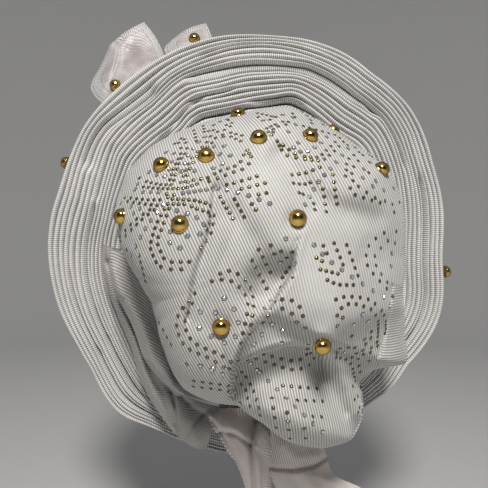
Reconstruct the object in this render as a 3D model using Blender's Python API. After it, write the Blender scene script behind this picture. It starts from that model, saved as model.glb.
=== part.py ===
"""Pre-tied gele: an accordion-pleated fan of ribbed cloth round a soft, gathered crown.

Lengths are in millimetres until a mesh is made. +X is the wearer's right, +Y is forward and +Z
is up, and the origin is the middle of the head opening. Angles are in degrees, clockwise from
the top as seen from behind, so that an angle of 90 points along +X.
"""
from collections import namedtuple

import bmesh
import bpy
import numpy as np
from mathutils import Vector
from mathutils.bvhtree import BVHTree

METRES_PER_MM = 0.001

# Cloth walls, and the gap that touching pieces keep
PLEAT_WALL = 1.0
CROWN_WALL = 1.8
BAND_WALL = 1.6
TRIM_WALL = 1.4
SEAT_GAP = 0.35

# Sections round the ring, shared by the fan, the band and the crown
SECTIONS = 45
SECTION_STEP = 360.0 / SECTIONS

# Head opening, an ellipse about the origin
HEAD_HALF_WIDTH = 84.0
HEAD_HALF_HEIGHT = 98.0

# Seam where the fan's inner edge meets the band, an ellipse a little above the opening's
FAN_SEAM_HALF_WIDTH = 108.0
FAN_SEAM_HALF_HEIGHT = 128.0
FAN_SEAM_CENTRE_Z = 17.0

# Fan
FAN_CENTRE_Z = 63.0
PLEATS = 17
FIRST_CREST = 0.5
DEEP_CREASE = 6.0
DEEP_CREASE_SINK = 3.0
DEEP_CREASE_SPREAD = 0.8
FINE_PLEATS_END = 13.0
FREE_EDGE_FLARE = 2.0
SEAM_FORWARD = 20.0

# Band: its plane, and the cuff that turns back into the opening
BAND_BACK_Y = 25.7
BAND_MIDDLE_LIFT = 2.5
CUFF_REACH = 9.0

# Crown
CROWN_CENTRE_Z = 20.0
CROWN_SEAM_MARGIN = 6.0
CROWN_POLE = (-28.0, -152.0, 36.0)
CROWN_ROUNDNESS = 2.6
EDGE_SHARE_OF_RELIEF = 0.9

# Gold domes: their outline, and how the cloth under each is felt for its seat
DOME_SIDES = 10
DOME_FLANGE_RADIUS = 6.6
DOME_TOP = 5.9
DomeRing = namedtuple("DomeRing", "radius height")
DOME_RINGS = [
    DomeRing(1.00, 0.00),
    DomeRing(1.00, 0.12),
    DomeRing(0.86, 0.17),
    DomeRing(0.78, 0.55),
    DomeRing(0.46, 0.88),
]
SEAT_PROBES = 20
SEAT_PROBE_SHARES = (0.35, 0.7, 1.0)
SEAT_PROBE_REACH = 16.5
PROBE_START = 400.0

FanRow = namedtuple("FanRow", "angle rim deep_crease fine_end forward fold_depth")
FAN_ROWS = [
    FanRow(0, 218, 184, 150, 20, 16),
    FanRow(17, 221, 190, 162, 17, 16),
    FanRow(32, 218, 187, 158, 15, 16),
    FanRow(46, 218, 191, 164, 15, 16),
    FanRow(60, 212, 187, 162, 17, 16),
    FanRow(75, 207, 185, 156, 19, 15),
    FanRow(90, 201, 181, 153, 20, 15),
    FanRow(108, 211, 190, 161, 19, 15),
    FanRow(127, 205, 187, 167, 21, 14),
    FanRow(136, 210, 191, 171, 23, 13),
    FanRow(150, 209, 191, 173, 25, 12),
    FanRow(165, 212, 197, 179, 26, 11),
    FanRow(180, 220, 205, 185, 26, 10),
    FanRow(200, 214, 200, 181, 25, 11),
    FanRow(217, 219, 200, 174, 22, 13),
    FanRow(232, 207, 189, 160, 18, 15),
    FanRow(245, 204, 186, 153, 15, 16),
    FanRow(270, 206, 184, 153, 14, 16),
    FanRow(290, 205, 182, 148, 16, 16),
    FanRow(306, 211, 183, 140, 19, 16),
    FanRow(325, 215, 180, 137, 21, 16),
    FanRow(341, 217, 186, 148, 21, 16),
]

# Widest outline of the crown about its own centre, and how far forward that edge lies
CrownRow = namedtuple("CrownRow", "angle edge edge_y")
CROWN_ROWS = [
    CrownRow(0, 163, -40),
    CrownRow(12, 172, -40),
    CrownRow(26, 165, -42),
    CrownRow(36, 163, -43),
    CrownRow(47, 167, -44),
    CrownRow(58, 159, -42),
    CrownRow(75, 142, -40),
    CrownRow(89, 136, -38),
    CrownRow(104, 140, -38),
    CrownRow(112, 144, -40),
    CrownRow(120, 127, -44),
    CrownRow(127, 121, -50),
    CrownRow(136, 141, -57),
    CrownRow(144, 150, -60),
    CrownRow(154, 143, -60),
    CrownRow(165, 128, -55),
    CrownRow(173, 111, -48),
    CrownRow(185, 96, -42),
    CrownRow(200, 99, -38),
    CrownRow(215, 100, -36),
    CrownRow(237, 92, -40),
    CrownRow(255, 92, -44),
    CrownRow(268, 96, -46),
    CrownRow(280, 108, -46),
    CrownRow(293, 128, -45),
    CrownRow(305, 142, -44),
    CrownRow(316, 153, -42),
    CrownRow(327, 158, -40),
    CrownRow(343, 158, -40),
]

# Underside of the crown from its seam to its widest edge, as shares of that way
UnderRow = namedtuple("UnderRow", "outward backward")
UNDER_ROWS = [
    UnderRow(0.00, 0.00),
    UnderRow(0.10, 0.20),
    UnderRow(0.38, 0.47),
    UnderRow(0.75, 0.75),
    UnderRow(1.00, 1.00),
]
SEAT_ROW = 3

# Rings of the crown's back, as shares of the way from its pole to its edge
BACK_RINGS = [0.96, 0.88, 0.77, 0.64, 0.49, 0.33, 0.16]

# Overlap that runs down the crown's back: the cloth to its left lies lower
OVERLAP_LINE = [(30, 62), (22, 48), (14, 27), (3, 8), (-8, -11), (-11, -56)]
OVERLAP_DROP = 8.0
OVERLAP_REACH = 26.0
OVERLAP_LIP = 3.0
OVERLAP_LIP_REACH = 14.0
OVERLAP_EASE = 7.0
OVERLAP_END_FADE = 16.0

# Grooves in the crown's back, each along one straight run
Groove = namedtuple("Groove", "x1 z1 x2 z2 width depth")
GROOVES = [
    Groove(-8, -17, 17, -10, 9, 8),
    Groove(17, -10, 40, -9, 9, 9),
    Groove(-27, 128, -12, 68, 12, 4),
    Groove(60, 110, 84, 60, 14, 4),
    Groove(-60, 40, -48, -20, 12, 4),
]

# Swellings of the crown's back, and hollows where the height is negative
Mound = namedtuple("Mound", "x z half_width half_height height")
MOUNDS = [
    Mound(52, -60, 36, 30, 9),
    Mound(98, -12, 24, 17, -16),
    Mound(40, 12, 30, 24, 3),
    Mound(90, 105, 40, 32, 5),
]

# Swag between the crown's left edge and the fan: fold crest, outer edge and their depths
SwagRow = namedtuple("SwagRow", "section crest crest_y outer outer_y")
SWAG_ROWS = [
    SwagRow(25, 106, -44, 158, -24),
    SwagRow(26, 108, -46, 155, -18),
    SwagRow(27, 110, -48, 149, -12),
    SwagRow(28, 110, -50, 144, -8),
    SwagRow(29, 110, -51, 138, -6),
    SwagRow(30, 109, -52, 132, -5),
    SwagRow(31, 107, -52, 130, -5),
    SwagRow(32, 108, -51, 131, -6),
    SwagRow(33, 113, -50, 135, -8),
    SwagRow(34, 121, -48, 141, -10),
    SwagRow(35, 127, -46, 146, -14),
    SwagRow(36, 133, -44, 147, -22),
]
SWAG_SHOULDER_MARGIN = 2.0
SWAG_TUCK = 3.0
SWAG_TUCK_RISE = 24.0
SWAG_PANEL_SHARE = 0.55
SWAG_PANEL_RISE = 10.0

# Strips of cloth, a row for each station. Free ties: from under the crown to the cut end
StripRow = namedtuple("StripRow", "left_x left_z right_x right_z y crown")
TIE_COLUMNS = 5
TIE_LEFT_SECTIONS = (24, 23, 22)
TIE_LEFT_ROWS = [
    StripRow(-37, -99, 8, -96, -38, 5),
    StripRow(-28, -114, 16, -109, -38, 7),
    StripRow(-20, -129, 23, -123, -36, 7),
    StripRow(-12, -141, 26, -137, -33, 6),
    StripRow(-3, -169, 21, -168, -28, 5),
    StripRow(1, -200, 26, -198, -25, 4),
    StripRow(3, -232, 31, -229, -23, 3),
]
TIE_RIGHT_SECTIONS = (21, 20, 19)
TIE_RIGHT_ROWS = [
    StripRow(30, -119, 69, -121, -34, 4),
    StripRow(30, -133, 73, -136, -32, 5),
    StripRow(30, -148, 79, -150, -30, 6),
    StripRow(34, -164, 104, -163, -28, 7),
    StripRow(44, -184, 126, -180, -26, 7),
    StripRow(58, -206, 146, -198, -24, 6),
    StripRow(72, -228, 162, -216, -23, 5),
]

# Bow ends at the front, a row for each station from the fan's front face to the hemmed end
TAB_COLUMNS = 5
TAB_LEFT_SECTIONS = (39, 40, 41, 42)
TAB_LEFT_TURN = 9
TAB_LEFT_ROWS = [
    StripRow(-132, 202, -78, 232, 44, 4),
    StripRow(-163, 222, -92, 268, 62, 7),
    StripRow(-183, 247, -101, 292, 78, 9),
    StripRow(-178, 275, -111, 311, 84, 8),
    StripRow(-163, 300, -123, 327, 87, 5),
]
TAB_RIGHT_SECTIONS = (42, 43, 44, 45)
TAB_RIGHT_TURN = 7
TAB_RIGHT_ROWS = [
    StripRow(-72, 246, -34, 256, 42, 3),
    StripRow(-84, 268, -36, 282, 56, 5),
    StripRow(-96, 289, -43, 305, 70, 6),
    StripRow(-80, 309, -49, 321, 77, 4),
]

# Gold domes on the crown and the bow ends, by the place of each as seen from behind
DomeRow = namedtuple("DomeRow", "host x z")
DOME_ROWS = [
    DomeRow("crown", -10, 173),
    DomeRow("crown", 6, 144),
    DomeRow("crown", 46, 148),
    DomeRow("crown", 73, 164),
    DomeRow("crown", -33, 130),
    DomeRow("crown", -67, 124),
    DomeRow("crown", 104, 124),
    DomeRow("crown", -98, 86),
    DomeRow("crown", -50, 79),
    DomeRow("crown", 33, 83),
    DomeRow("crown", -21, 7),
    DomeRow("crown", 51, -8),
    DomeRow("front_tab_left", -150, 244),
    DomeRow("front_tab_right", -61, 297),
]
RIM_DOME_ANGLES = [294.5, 97.5]
RIM_DOME_SHARE = 0.6

Finish = namedtuple("Finish", "colour roughness metallic")
FINISHES = {
    "pleated_cloth": Finish((0.62, 0.60, 0.58), 0.75, 0.0),
    "crown_cloth": Finish((0.66, 0.64, 0.63), 0.72, 0.0),
    "plain_cloth": Finish((0.55, 0.52, 0.51), 0.78, 0.0),
    "satin": Finish((0.66, 0.58, 0.60), 0.45, 0.0),
    "gold": Finish((0.78, 0.53, 0.16), 0.18, 1.0),
}


def clear_scene():
    for thing in list(bpy.data.objects):
        bpy.data.objects.remove(thing, do_unlink=True)


def unit(vectors):
    """Vectors scaled to length one along the last axis."""
    return vectors / np.linalg.norm(vectors, axis=-1, keepdims=True)


def ring_direction(angle):
    """Unit vector in the XZ plane at an angle clockwise from the top."""
    turn = np.radians(angle)
    return np.array([np.sin(turn), np.cos(turn)])


def ring_value(rows, column, angle):
    """A column of rows by angle, run smoothly through the rows and on round the ring."""
    angles = np.array([row.angle for row in rows], dtype=float)
    values = np.array([getattr(row, column) for row in rows], dtype=float)
    angles = np.concatenate([angles[-2:] - 360.0, angles, angles[:2] + 360.0])
    values = np.concatenate([values[-2:], values, values[:2]])
    here = int(np.searchsorted(angles, angle % 360.0, side="right")) - 1
    slopes = (values[here + 1:here + 3] - values[here - 1:here + 1])
    slopes = slopes / (angles[here + 1:here + 3] - angles[here - 1:here + 1])
    span = angles[here + 1] - angles[here]
    t = (angle % 360.0 - angles[here]) / span
    return ((2 * t**3 - 3 * t**2 + 1) * values[here] + (t**3 - 2 * t**2 + t) * span * slopes[0]
            + (3 * t**2 - 2 * t**3) * values[here + 1] + (t**3 - t**2) * span * slopes[1])


def reach_to_ellipse(angle, start_z, half_width, half_height, centre_z):
    """Distance from (0, start_z) to an ellipse, at an angle clockwise from the top."""
    across, up = ring_direction(angle)
    drop = start_z - centre_z
    a = (across / half_width) ** 2 + (up / half_height) ** 2
    b = 2 * drop * up / half_height**2
    c = (drop / half_height) ** 2 - 1
    return (-b + np.sqrt(b * b - 4 * a * c)) / (2 * a)


def at_polar(angle, radius, y, centre_z):
    """Point at an angle and a radius about (0, centre_z), y forward."""
    across, up = ring_direction(angle)
    return np.array([radius * across, y, centre_z + radius * up])


def grid_faces(rows, columns, first=0, close_rows=False, close_columns=False):
    """Triangles of a grid of points that are stored row by row."""
    faces = []
    for row in range(rows if close_rows else rows - 1):
        below = (row + 1) % rows
        for column in range(columns if close_columns else columns - 1):
            beside = (column + 1) % columns
            corners = [first + row * columns + column, first + row * columns + beside,
                       first + below * columns + beside, first + below * columns + column]
            faces.append((corners[0], corners[1], corners[2]))
            faces.append((corners[0], corners[2], corners[3]))
    return faces


def grid_normals(grid):
    """Unit normals of an open grid, from the differences between neighbouring points."""
    along = np.gradient(grid, axis=0)
    across = np.gradient(grid, axis=1)
    return unit(np.cross(along, across))


def sheet_shell(grid, wall):
    """Points and faces of a closed shell whose middle surface is an open grid."""
    rows, columns = grid.shape[:2]
    offset = grid_normals(grid) * wall / 2
    count = rows * columns
    points = np.concatenate([(grid + offset).reshape(-1, 3), (grid - offset).reshape(-1, 3)])
    faces = grid_faces(rows, columns) + grid_faces(rows, columns, first=count)
    top = list(range(columns))
    right = [row * columns + columns - 1 for row in range(1, rows)]
    bottom = [(rows - 1) * columns + column for column in range(columns - 2, -1, -1)]
    left = [row * columns for row in range(rows - 2, 0, -1)]
    border = top + right + bottom + left
    for here, following in zip(border, border[1:] + border[:1]):
        faces.append((here, following, following + count))
        faces.append((here, following + count, here + count))
    return points, faces


def fan_radius(angle, turn):
    """Radius about the fan's centre at an angle, where turn counts pleats in from the rim."""
    rim = ring_value(FAN_ROWS, "rim", angle)
    seam = reach_to_ellipse(angle, FAN_CENTRE_Z, FAN_SEAM_HALF_WIDTH, FAN_SEAM_HALF_HEIGHT,
                            FAN_SEAM_CENTRE_Z)
    turns = [0.0, FIRST_CREST, DEEP_CREASE, FINE_PLEATS_END, PLEATS]
    radii = [rim + FREE_EDGE_FLARE, rim, ring_value(FAN_ROWS, "deep_crease", angle),
             ring_value(FAN_ROWS, "fine_end", angle), seam]
    return np.interp(turn, turns, radii)


def fan_middle_y(angle, turn):
    """Middle depth of the pleats: the fan is a shallow bowl with a deep crease part way in."""
    share = np.clip(turn / PLEATS, 0.0, 1.0)
    ease = share * share * (3 - 2 * share)
    rim_y = ring_value(FAN_ROWS, "forward", angle)
    sink = DEEP_CREASE_SINK * np.exp(-((turn - DEEP_CREASE) / DEEP_CREASE_SPREAD) ** 2)
    return rim_y + (SEAM_FORWARD - rim_y) * ease + sink


def fan_section(angle):
    """Radii, middle depths and wall heights along Y at each crest, from the rim inward."""
    turns = np.arange(2 * PLEATS + 1) / 2
    radii = fan_radius(angle, turns)
    fold_depth = ring_value(FAN_ROWS, "fold_depth", angle)
    side = np.where(np.arange(len(turns)) % 2 == 0, 1.0, -1.0)
    middle = fan_middle_y(angle, turns) + side * fold_depth / 2
    steps = np.abs(np.diff(radii))
    heights = PLEAT_WALL * np.hypot(steps, fold_depth) / steps
    heights = np.concatenate([heights[:1], (heights[1:] + heights[:-1]) / 2, heights[-1:]])
    return radii, middle, heights


def fan_front_point(section, turn):
    """Foremost point of the front crest with a given count, at a section of the ring."""
    angle = section * SECTION_STEP
    radii, middle, heights = fan_section(angle)
    crest = 2 * turn
    return at_polar(angle, radii[crest], middle[crest] + heights[crest] / 2, FAN_CENTRE_Z)


def fan_mesh():
    loops = []
    for section in range(SECTIONS):
        angle = section * SECTION_STEP
        radii, middle, heights = fan_section(angle)
        back = [at_polar(angle, r, y - h / 2, FAN_CENTRE_Z)
                for r, y, h in zip(radii, middle, heights)]
        front = [at_polar(angle, r, y + h / 2, FAN_CENTRE_Z)
                 for r, y, h in zip(radii, middle, heights)]
        loops.append(back + front[::-1])
    points = np.array(loops)
    faces = grid_faces(SECTIONS, points.shape[1], close_rows=True, close_columns=True)
    return points.reshape(-1, 3), faces


def band_mesh():
    """Band from the fan's seam in to the head opening, with a cuff that turns back."""
    loops = []
    for section in range(SECTIONS):
        angle = section * SECTION_STEP
        seam = fan_radius(angle, PLEATS) - SEAT_GAP
        opening = reach_to_ellipse(angle, FAN_CENTRE_Z, HEAD_HALF_WIDTH, HEAD_HALF_HEIGHT, 0.0)
        middle = (seam + opening) / 2
        cuff = opening + BAND_WALL
        front_y = BAND_BACK_Y + BAND_WALL
        outline = [
            (seam, BAND_BACK_Y),
            (cuff, BAND_BACK_Y),
            (cuff, BAND_BACK_Y - CUFF_REACH),
            (opening, BAND_BACK_Y - CUFF_REACH),
            (opening, front_y),
            (middle, front_y + BAND_MIDDLE_LIFT),
            (seam, front_y),
        ]
        loops.append([at_polar(angle, radius, y, FAN_CENTRE_Z) for radius, y in outline])
    points = np.array(loops)
    faces = grid_faces(SECTIONS, points.shape[1], close_rows=True, close_columns=True)
    return points.reshape(-1, 3), faces


def distance_to_run(x, z, start, end):
    """Distance from points to a straight run, less than zero on its left-hand side."""
    start = np.array(start, dtype=float)
    run = np.array(end, dtype=float) - start
    along = ((x - start[0]) * run[0] + (z - start[1]) * run[1]) / (run @ run)
    nearest = np.clip(along, 0.0, 1.0)
    away_x = x - start[0] - nearest * run[0]
    away_z = z - start[1] - nearest * run[1]
    side = run[0] * away_z - run[1] * away_x
    return np.hypot(away_x, away_z) * np.where(side < 0, -1.0, 1.0)


def overlap_relief(x, z):
    """Drop to the left of the overlap line, eased into the lip on its right."""
    distances = np.array([distance_to_run(x, z, start, end)
                          for start, end in zip(OVERLAP_LINE[:-1], OVERLAP_LINE[1:])])
    nearest = np.argmin(np.abs(distances), axis=0)
    distance = np.take_along_axis(distances, nearest[None, :], axis=0)[0]
    drop = OVERLAP_DROP * np.exp(-np.abs(distance) / OVERLAP_REACH)
    lip = -OVERLAP_LIP * np.exp(-np.abs(distance) / OVERLAP_LIP_REACH)
    lower = (1 - np.tanh(distance / OVERLAP_EASE)) / 2
    beyond = 0.0
    for end, inside in ((OVERLAP_LINE[0], OVERLAP_LINE[1]), (OVERLAP_LINE[-1], OVERLAP_LINE[-2])):
        outward = unit(np.array(end, dtype=float) - inside)
        beyond = beyond + np.maximum(0.0, (x - end[0]) * outward[0] + (z - end[1]) * outward[1])
    return (drop * lower + lip * (1 - lower)) * np.exp(-(beyond / OVERLAP_END_FADE) ** 2)


def crown_relief(x, z):
    """How much deeper, toward the head, the folds set the crown's back at each point."""
    relief = overlap_relief(x, z)
    for groove in GROOVES:
        distance = distance_to_run(x, z, (groove.x1, groove.z1), (groove.x2, groove.z2))
        relief = relief + groove.depth * np.exp(-(distance / groove.width) ** 2)
    for mound in MOUNDS:
        away = np.hypot((x - mound.x) / mound.half_width, (z - mound.z) / mound.half_height)
        relief = relief - mound.height * np.exp(-away**2)
    return relief


def crown_seam_radius(angle):
    return reach_to_ellipse(angle, CROWN_CENTRE_Z, HEAD_HALF_WIDTH + CROWN_SEAM_MARGIN,
                            HEAD_HALF_HEIGHT + CROWN_SEAM_MARGIN, 0.0)


def crown_column(angle):
    """Points of the crown's outer side at one angle, from its seam to the ring by its pole."""
    seam = crown_seam_radius(angle)
    edge = ring_value(CROWN_ROWS, "edge", angle)
    edge_y = ring_value(CROWN_ROWS, "edge_y", angle)
    seam_y = BAND_BACK_Y - SEAT_GAP
    column = []
    for row in UNDER_ROWS:
        radius = seam + (edge - seam) * row.outward
        y = seam_y + (edge_y - seam_y) * row.backward
        column.append(at_polar(angle, radius, y, CROWN_CENTRE_Z))
    pole = np.array(CROWN_POLE)
    edge_point = column[-1]
    for ring in BACK_RINGS:
        point = pole + (edge_point - pole) * ring
        bulge = np.sqrt(1 - ring**CROWN_ROUNDNESS)
        point[1] = edge_y + (pole[1] - edge_y) * bulge
        column.append(point)
    return np.array(column)


def crown_outer_grid():
    grid = np.array([crown_column(section * SECTION_STEP) for section in range(SECTIONS)])
    first = len(UNDER_ROWS)
    back = grid[:, first:]
    relief = crown_relief(back[..., 0].ravel(), back[..., 2].ravel()).reshape(back.shape[:2])
    fade = np.clip((1 - np.array(BACK_RINGS)) / (1 - EDGE_SHARE_OF_RELIEF), 0.0, 1.0)
    back[..., 1] += relief * fade
    return grid


def crown_normals(grid):
    """Outward unit normals of the crown's outer side, level with the seam's plane at the seam."""
    around = np.roll(grid, 1, axis=0) - np.roll(grid, -1, axis=0)
    normals = unit(np.cross(around, np.gradient(grid, axis=1)))
    outward = grid[:, 0] - np.array([0.0, 0.0, CROWN_CENTRE_Z])
    outward[:, 1] = 0.0
    normals[:, 0] = unit(outward)
    return normals


def crown_mesh():
    """Hollow bag: an outer and an inner side, joined round the seam."""
    grid = crown_outer_grid()
    pole = np.array(CROWN_POLE)
    pole[1] += crown_relief(pole[:1], pole[2:])[0]
    inner = grid - crown_normals(grid) * CROWN_WALL
    inner_pole = pole + np.array([0.0, CROWN_WALL, 0.0])

    columns = grid.shape[1]
    count = SECTIONS * columns
    points = np.concatenate([grid.reshape(-1, 3), inner.reshape(-1, 3), [pole, inner_pole]])
    faces = grid_faces(SECTIONS, columns, close_rows=True)
    faces += grid_faces(SECTIONS, columns, first=count, close_rows=True)
    for section in range(SECTIONS):
        here = section * columns
        following = (section + 1) % SECTIONS * columns
        last = columns - 1
        faces.append((here + last, following + last, 2 * count))
        faces.append((count + here + last, count + following + last, 2 * count + 1))
        faces.append((here, following, count + following))
        faces.append((here, count + following, count + here))
    return points, faces


def crown_seat_point(grid, section):
    """Point just outside the crown's underside, where a piece of trim is sewn to it."""
    outward = crown_normals(grid)[section % SECTIONS, SEAT_ROW]
    return grid[section % SECTIONS, SEAT_ROW] + outward * (SEAT_GAP + TRIM_WALL / 2)


def swag_mesh(crown_grid):
    """Folded swag: a shoulder from the crown, a rolled crest, a tuck, and a panel to the fan."""
    grid = []
    for row in SWAG_ROWS:
        angle = row.section * SECTION_STEP
        seat = crown_seat_point(crown_grid, row.section)
        shoulder_radius = ring_value(CROWN_ROWS, "edge", angle) + SWAG_SHOULDER_MARGIN
        shoulder_y = ring_value(CROWN_ROWS, "edge_y", angle)
        seat_radius = np.hypot(seat[0], seat[2] - CROWN_CENTRE_Z)
        tuck_radius = max(row.crest - SWAG_TUCK, seat_radius + SWAG_TUCK)
        tuck_y = row.crest_y + SWAG_TUCK_RISE
        panel_radius = tuck_radius + (row.outer - tuck_radius) * SWAG_PANEL_SHARE
        panel_y = (tuck_y + row.outer_y) / 2 - SWAG_PANEL_RISE
        outline = [(shoulder_radius, shoulder_y), (row.crest, row.crest_y), (tuck_radius, tuck_y),
                   (panel_radius, panel_y), (row.outer, row.outer_y)]
        grid.append([seat] + [at_polar(angle, r, y, CROWN_CENTRE_Z) for r, y in outline])
    return sheet_shell(np.array(grid), TRIM_WALL)


def strip_stations(rows, columns):
    """Points across each station of a strip, bowed backward by its crown."""
    stations = []
    for row in rows:
        share = np.linspace(0.0, 1.0, columns)
        x = row.left_x + (row.right_x - row.left_x) * share
        z = row.left_z + (row.right_z - row.left_z) * share
        y = row.y - row.crown * np.sin(np.pi * share)
        stations.append(np.stack([x, y, z], axis=1))
    return stations


def resample(points, count):
    """A run of points read again at an even number of steps along its length."""
    points = np.array(points, dtype=float)
    lengths = np.concatenate([[0.0], np.cumsum(np.linalg.norm(np.diff(points, axis=0), axis=1))])
    wanted = np.linspace(0.0, lengths[-1], count)
    return np.stack([np.interp(wanted, lengths, points[:, axis]) for axis in range(3)], axis=1)


def tie_mesh(crown_grid, sections, rows):
    """Tie that hangs from the crown's underside."""
    seats = [crown_seat_point(crown_grid, section) for section in sections]
    top = resample(seats, TIE_COLUMNS)
    return sheet_shell(np.array([top] + strip_stations(rows, TIE_COLUMNS)), TRIM_WALL)


def tab_mesh(sections, turn, rows):
    """Bow end that stands up from a front crest of the fan."""
    lift = np.array([0.0, SEAT_GAP + TRIM_WALL / 2, 0.0])
    seats = [fan_front_point(section % SECTIONS, turn) + lift for section in sections]
    foot = resample(seats, TAB_COLUMNS)
    return sheet_shell(np.array([foot] + strip_stations(rows, TAB_COLUMNS)), TRIM_WALL)


def ring_around(axis, count):
    """Unit vectors spread evenly round an axis, and at right angles to it."""
    side = axis.orthogonal().normalized()
    other = axis.cross(side)
    turns = 2 * np.pi * np.arange(count) / count
    return [side * float(np.cos(turn)) + other * float(np.sin(turn)) for turn in turns]


def dome_mesh(base, axis):
    """Round gold stone with a thin flange, on a base point and along an axis."""
    points = [base + axis * (ring.height * DOME_TOP) + around * (ring.radius * DOME_FLANGE_RADIUS)
              for ring in DOME_RINGS for around in ring_around(axis, DOME_SIDES)]
    points += [base + axis * DOME_TOP, base]
    faces = grid_faces(len(DOME_RINGS), DOME_SIDES, close_columns=True)
    top = len(DOME_RINGS) * DOME_SIDES
    last = top - DOME_SIDES
    for corner in range(DOME_SIDES):
        beside = (corner + 1) % DOME_SIDES
        faces.append((last + corner, last + beside, top))
        faces.append((corner, beside, top + 1))
    return np.array([list(point) for point in points]), faces


def seat_on_host(tree, start, direction):
    """Base point and axis of a dome that lies on a host surface met by a ray."""
    start = Vector(start)
    probe = Vector(direction).normalized()
    hit = tree.ray_cast(start, probe)[0]
    near = []
    for share in SEAT_PROBE_SHARES:
        for shift in ring_around(probe, SEAT_PROBES):
            place, facing, _, _ = tree.ray_cast(start + shift * (share * DOME_FLANGE_RADIUS), probe)
            if place is not None and (place - hit).length < SEAT_PROBE_REACH:
                near.append((place, facing if facing.dot(probe) < 0 else -facing))
    axis = sum((facing for _, facing in near), Vector()).normalized()
    rise = max((place - hit).dot(axis) for place, _ in near)
    return hit + axis * (max(rise, 0.0) + SEAT_GAP), axis


def make_materials():
    materials = {}
    for name, finish in FINISHES.items():
        material = bpy.data.materials.new(name)
        material.use_nodes = True
        shader = material.node_tree.nodes["Principled BSDF"]
        shader.inputs["Base Color"].default_value = (*finish.colour, 1.0)
        shader.inputs["Roughness"].default_value = finish.roughness
        shader.inputs["Metallic"].default_value = finish.metallic
        materials[name] = material
    return materials


def add_piece(name, shape, material, parent, smooth=False):
    """Object from points in millimetres and faces, closed with its faces pointing out."""
    points, faces = shape
    mesh = bpy.data.meshes.new(name)
    shell = bmesh.new()
    corners = [shell.verts.new(point * METRES_PER_MM) for point in np.asarray(points)]
    for face in faces:
        shell.faces.new([corners[index] for index in face])
    bmesh.ops.recalc_face_normals(shell, faces=shell.faces)
    shell.to_mesh(mesh)
    shell.free()
    if smooth:
        mesh.shade_smooth()
    mesh.materials.append(material.copy())
    piece = bpy.data.objects.new(name, mesh)
    bpy.context.collection.objects.link(piece)
    piece.parent = parent
    return piece


def host_tree(shape):
    points, faces = shape
    return BVHTree.FromPolygons([Vector(point) for point in points], faces)


def make_domes(shapes, material, parent):
    """Domes on the crown and the bow ends, met from behind, then the two on the fan's rim."""
    trees = {name: host_tree(shape) for name, shape in shapes.items()}
    seats = []
    for row in DOME_ROWS:
        start = (row.x, -PROBE_START, row.z)
        seats.append(seat_on_host(trees[row.host], start, (0.0, 1.0, 0.0)))
    for angle in RIM_DOME_ANGLES:
        _, middle, _ = fan_section(angle)
        seat_y = middle[1] + RIM_DOME_SHARE * (middle[0] - middle[1])
        start = at_polar(angle, PROBE_START, seat_y, FAN_CENTRE_Z)
        inward = at_polar(angle, -1.0, 0.0, 0.0)
        seats.append(seat_on_host(trees["fan"], start, inward))
    for number, (base, axis) in enumerate(seats, start=1):
        add_piece(f"dome_{number:02d}", dome_mesh(base, axis), material, parent, smooth=True)


def main():
    clear_scene()
    materials = make_materials()
    gele = bpy.data.objects.new("gele", None)
    bpy.context.collection.objects.link(gele)

    crown_grid = crown_outer_grid()
    shapes = {
        "fan": fan_mesh(),
        "head_band": band_mesh(),
        "crown": crown_mesh(),
        "side_gather": swag_mesh(crown_grid),
        "tie_left": tie_mesh(crown_grid, TIE_LEFT_SECTIONS, TIE_LEFT_ROWS),
        "tie_right": tie_mesh(crown_grid, TIE_RIGHT_SECTIONS, TIE_RIGHT_ROWS),
        "front_tab_left": tab_mesh(TAB_LEFT_SECTIONS, TAB_LEFT_TURN, TAB_LEFT_ROWS),
        "front_tab_right": tab_mesh(TAB_RIGHT_SECTIONS, TAB_RIGHT_TURN, TAB_RIGHT_ROWS),
    }
    cloths = {
        "fan": "pleated_cloth",
        "head_band": "plain_cloth",
        "crown": "crown_cloth",
        "side_gather": "plain_cloth",
        "tie_left": "plain_cloth",
        "tie_right": "plain_cloth",
        "front_tab_left": "satin",
        "front_tab_right": "satin",
    }
    for name, shape in shapes.items():
        add_piece(name, shape, materials[cloths[name]], gele)
    make_domes(shapes, materials["gold"], gele)


if __name__ == "__main__":
    main()
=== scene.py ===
"""Looks of the pre-tied gele: pleated fan, studded crown, folded swag, ties and bow ends.

Lengths are in millimetres until a mesh is made. Angles are in degrees, clockwise from the top as
seen from behind. Places that end in px are pixels of the photograph, which is 488 pixels square.
"""
import math
from collections import namedtuple

import bpy
import numpy as np
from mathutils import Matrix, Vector
from mathutils.bvhtree import BVHTree


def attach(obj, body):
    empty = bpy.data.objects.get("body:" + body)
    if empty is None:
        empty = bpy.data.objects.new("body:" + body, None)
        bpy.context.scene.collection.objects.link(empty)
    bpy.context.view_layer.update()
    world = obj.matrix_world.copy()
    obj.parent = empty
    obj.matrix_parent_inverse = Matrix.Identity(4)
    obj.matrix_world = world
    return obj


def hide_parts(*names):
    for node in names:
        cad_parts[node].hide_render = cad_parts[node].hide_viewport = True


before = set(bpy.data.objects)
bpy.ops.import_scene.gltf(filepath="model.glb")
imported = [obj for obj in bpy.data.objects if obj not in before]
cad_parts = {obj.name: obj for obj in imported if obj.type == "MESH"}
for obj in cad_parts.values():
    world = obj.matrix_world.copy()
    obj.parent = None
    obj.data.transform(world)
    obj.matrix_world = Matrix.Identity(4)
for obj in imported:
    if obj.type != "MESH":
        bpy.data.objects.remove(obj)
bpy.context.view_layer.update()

METRES_PER_MM = 0.001

# Camera: a level pinhole behind the wrap
PHOTO_SIDE_PX = 488.0
PHOTO_MIDDLE_PX = PHOTO_SIDE_PX / 2
FOCAL_PX = 489.0
CAMERA_PLACE = (-5.0, -490.0, 65.0)
EYE = Vector(CAMERA_PLACE)
SENSOR_WIDTH = 36.0

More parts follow.
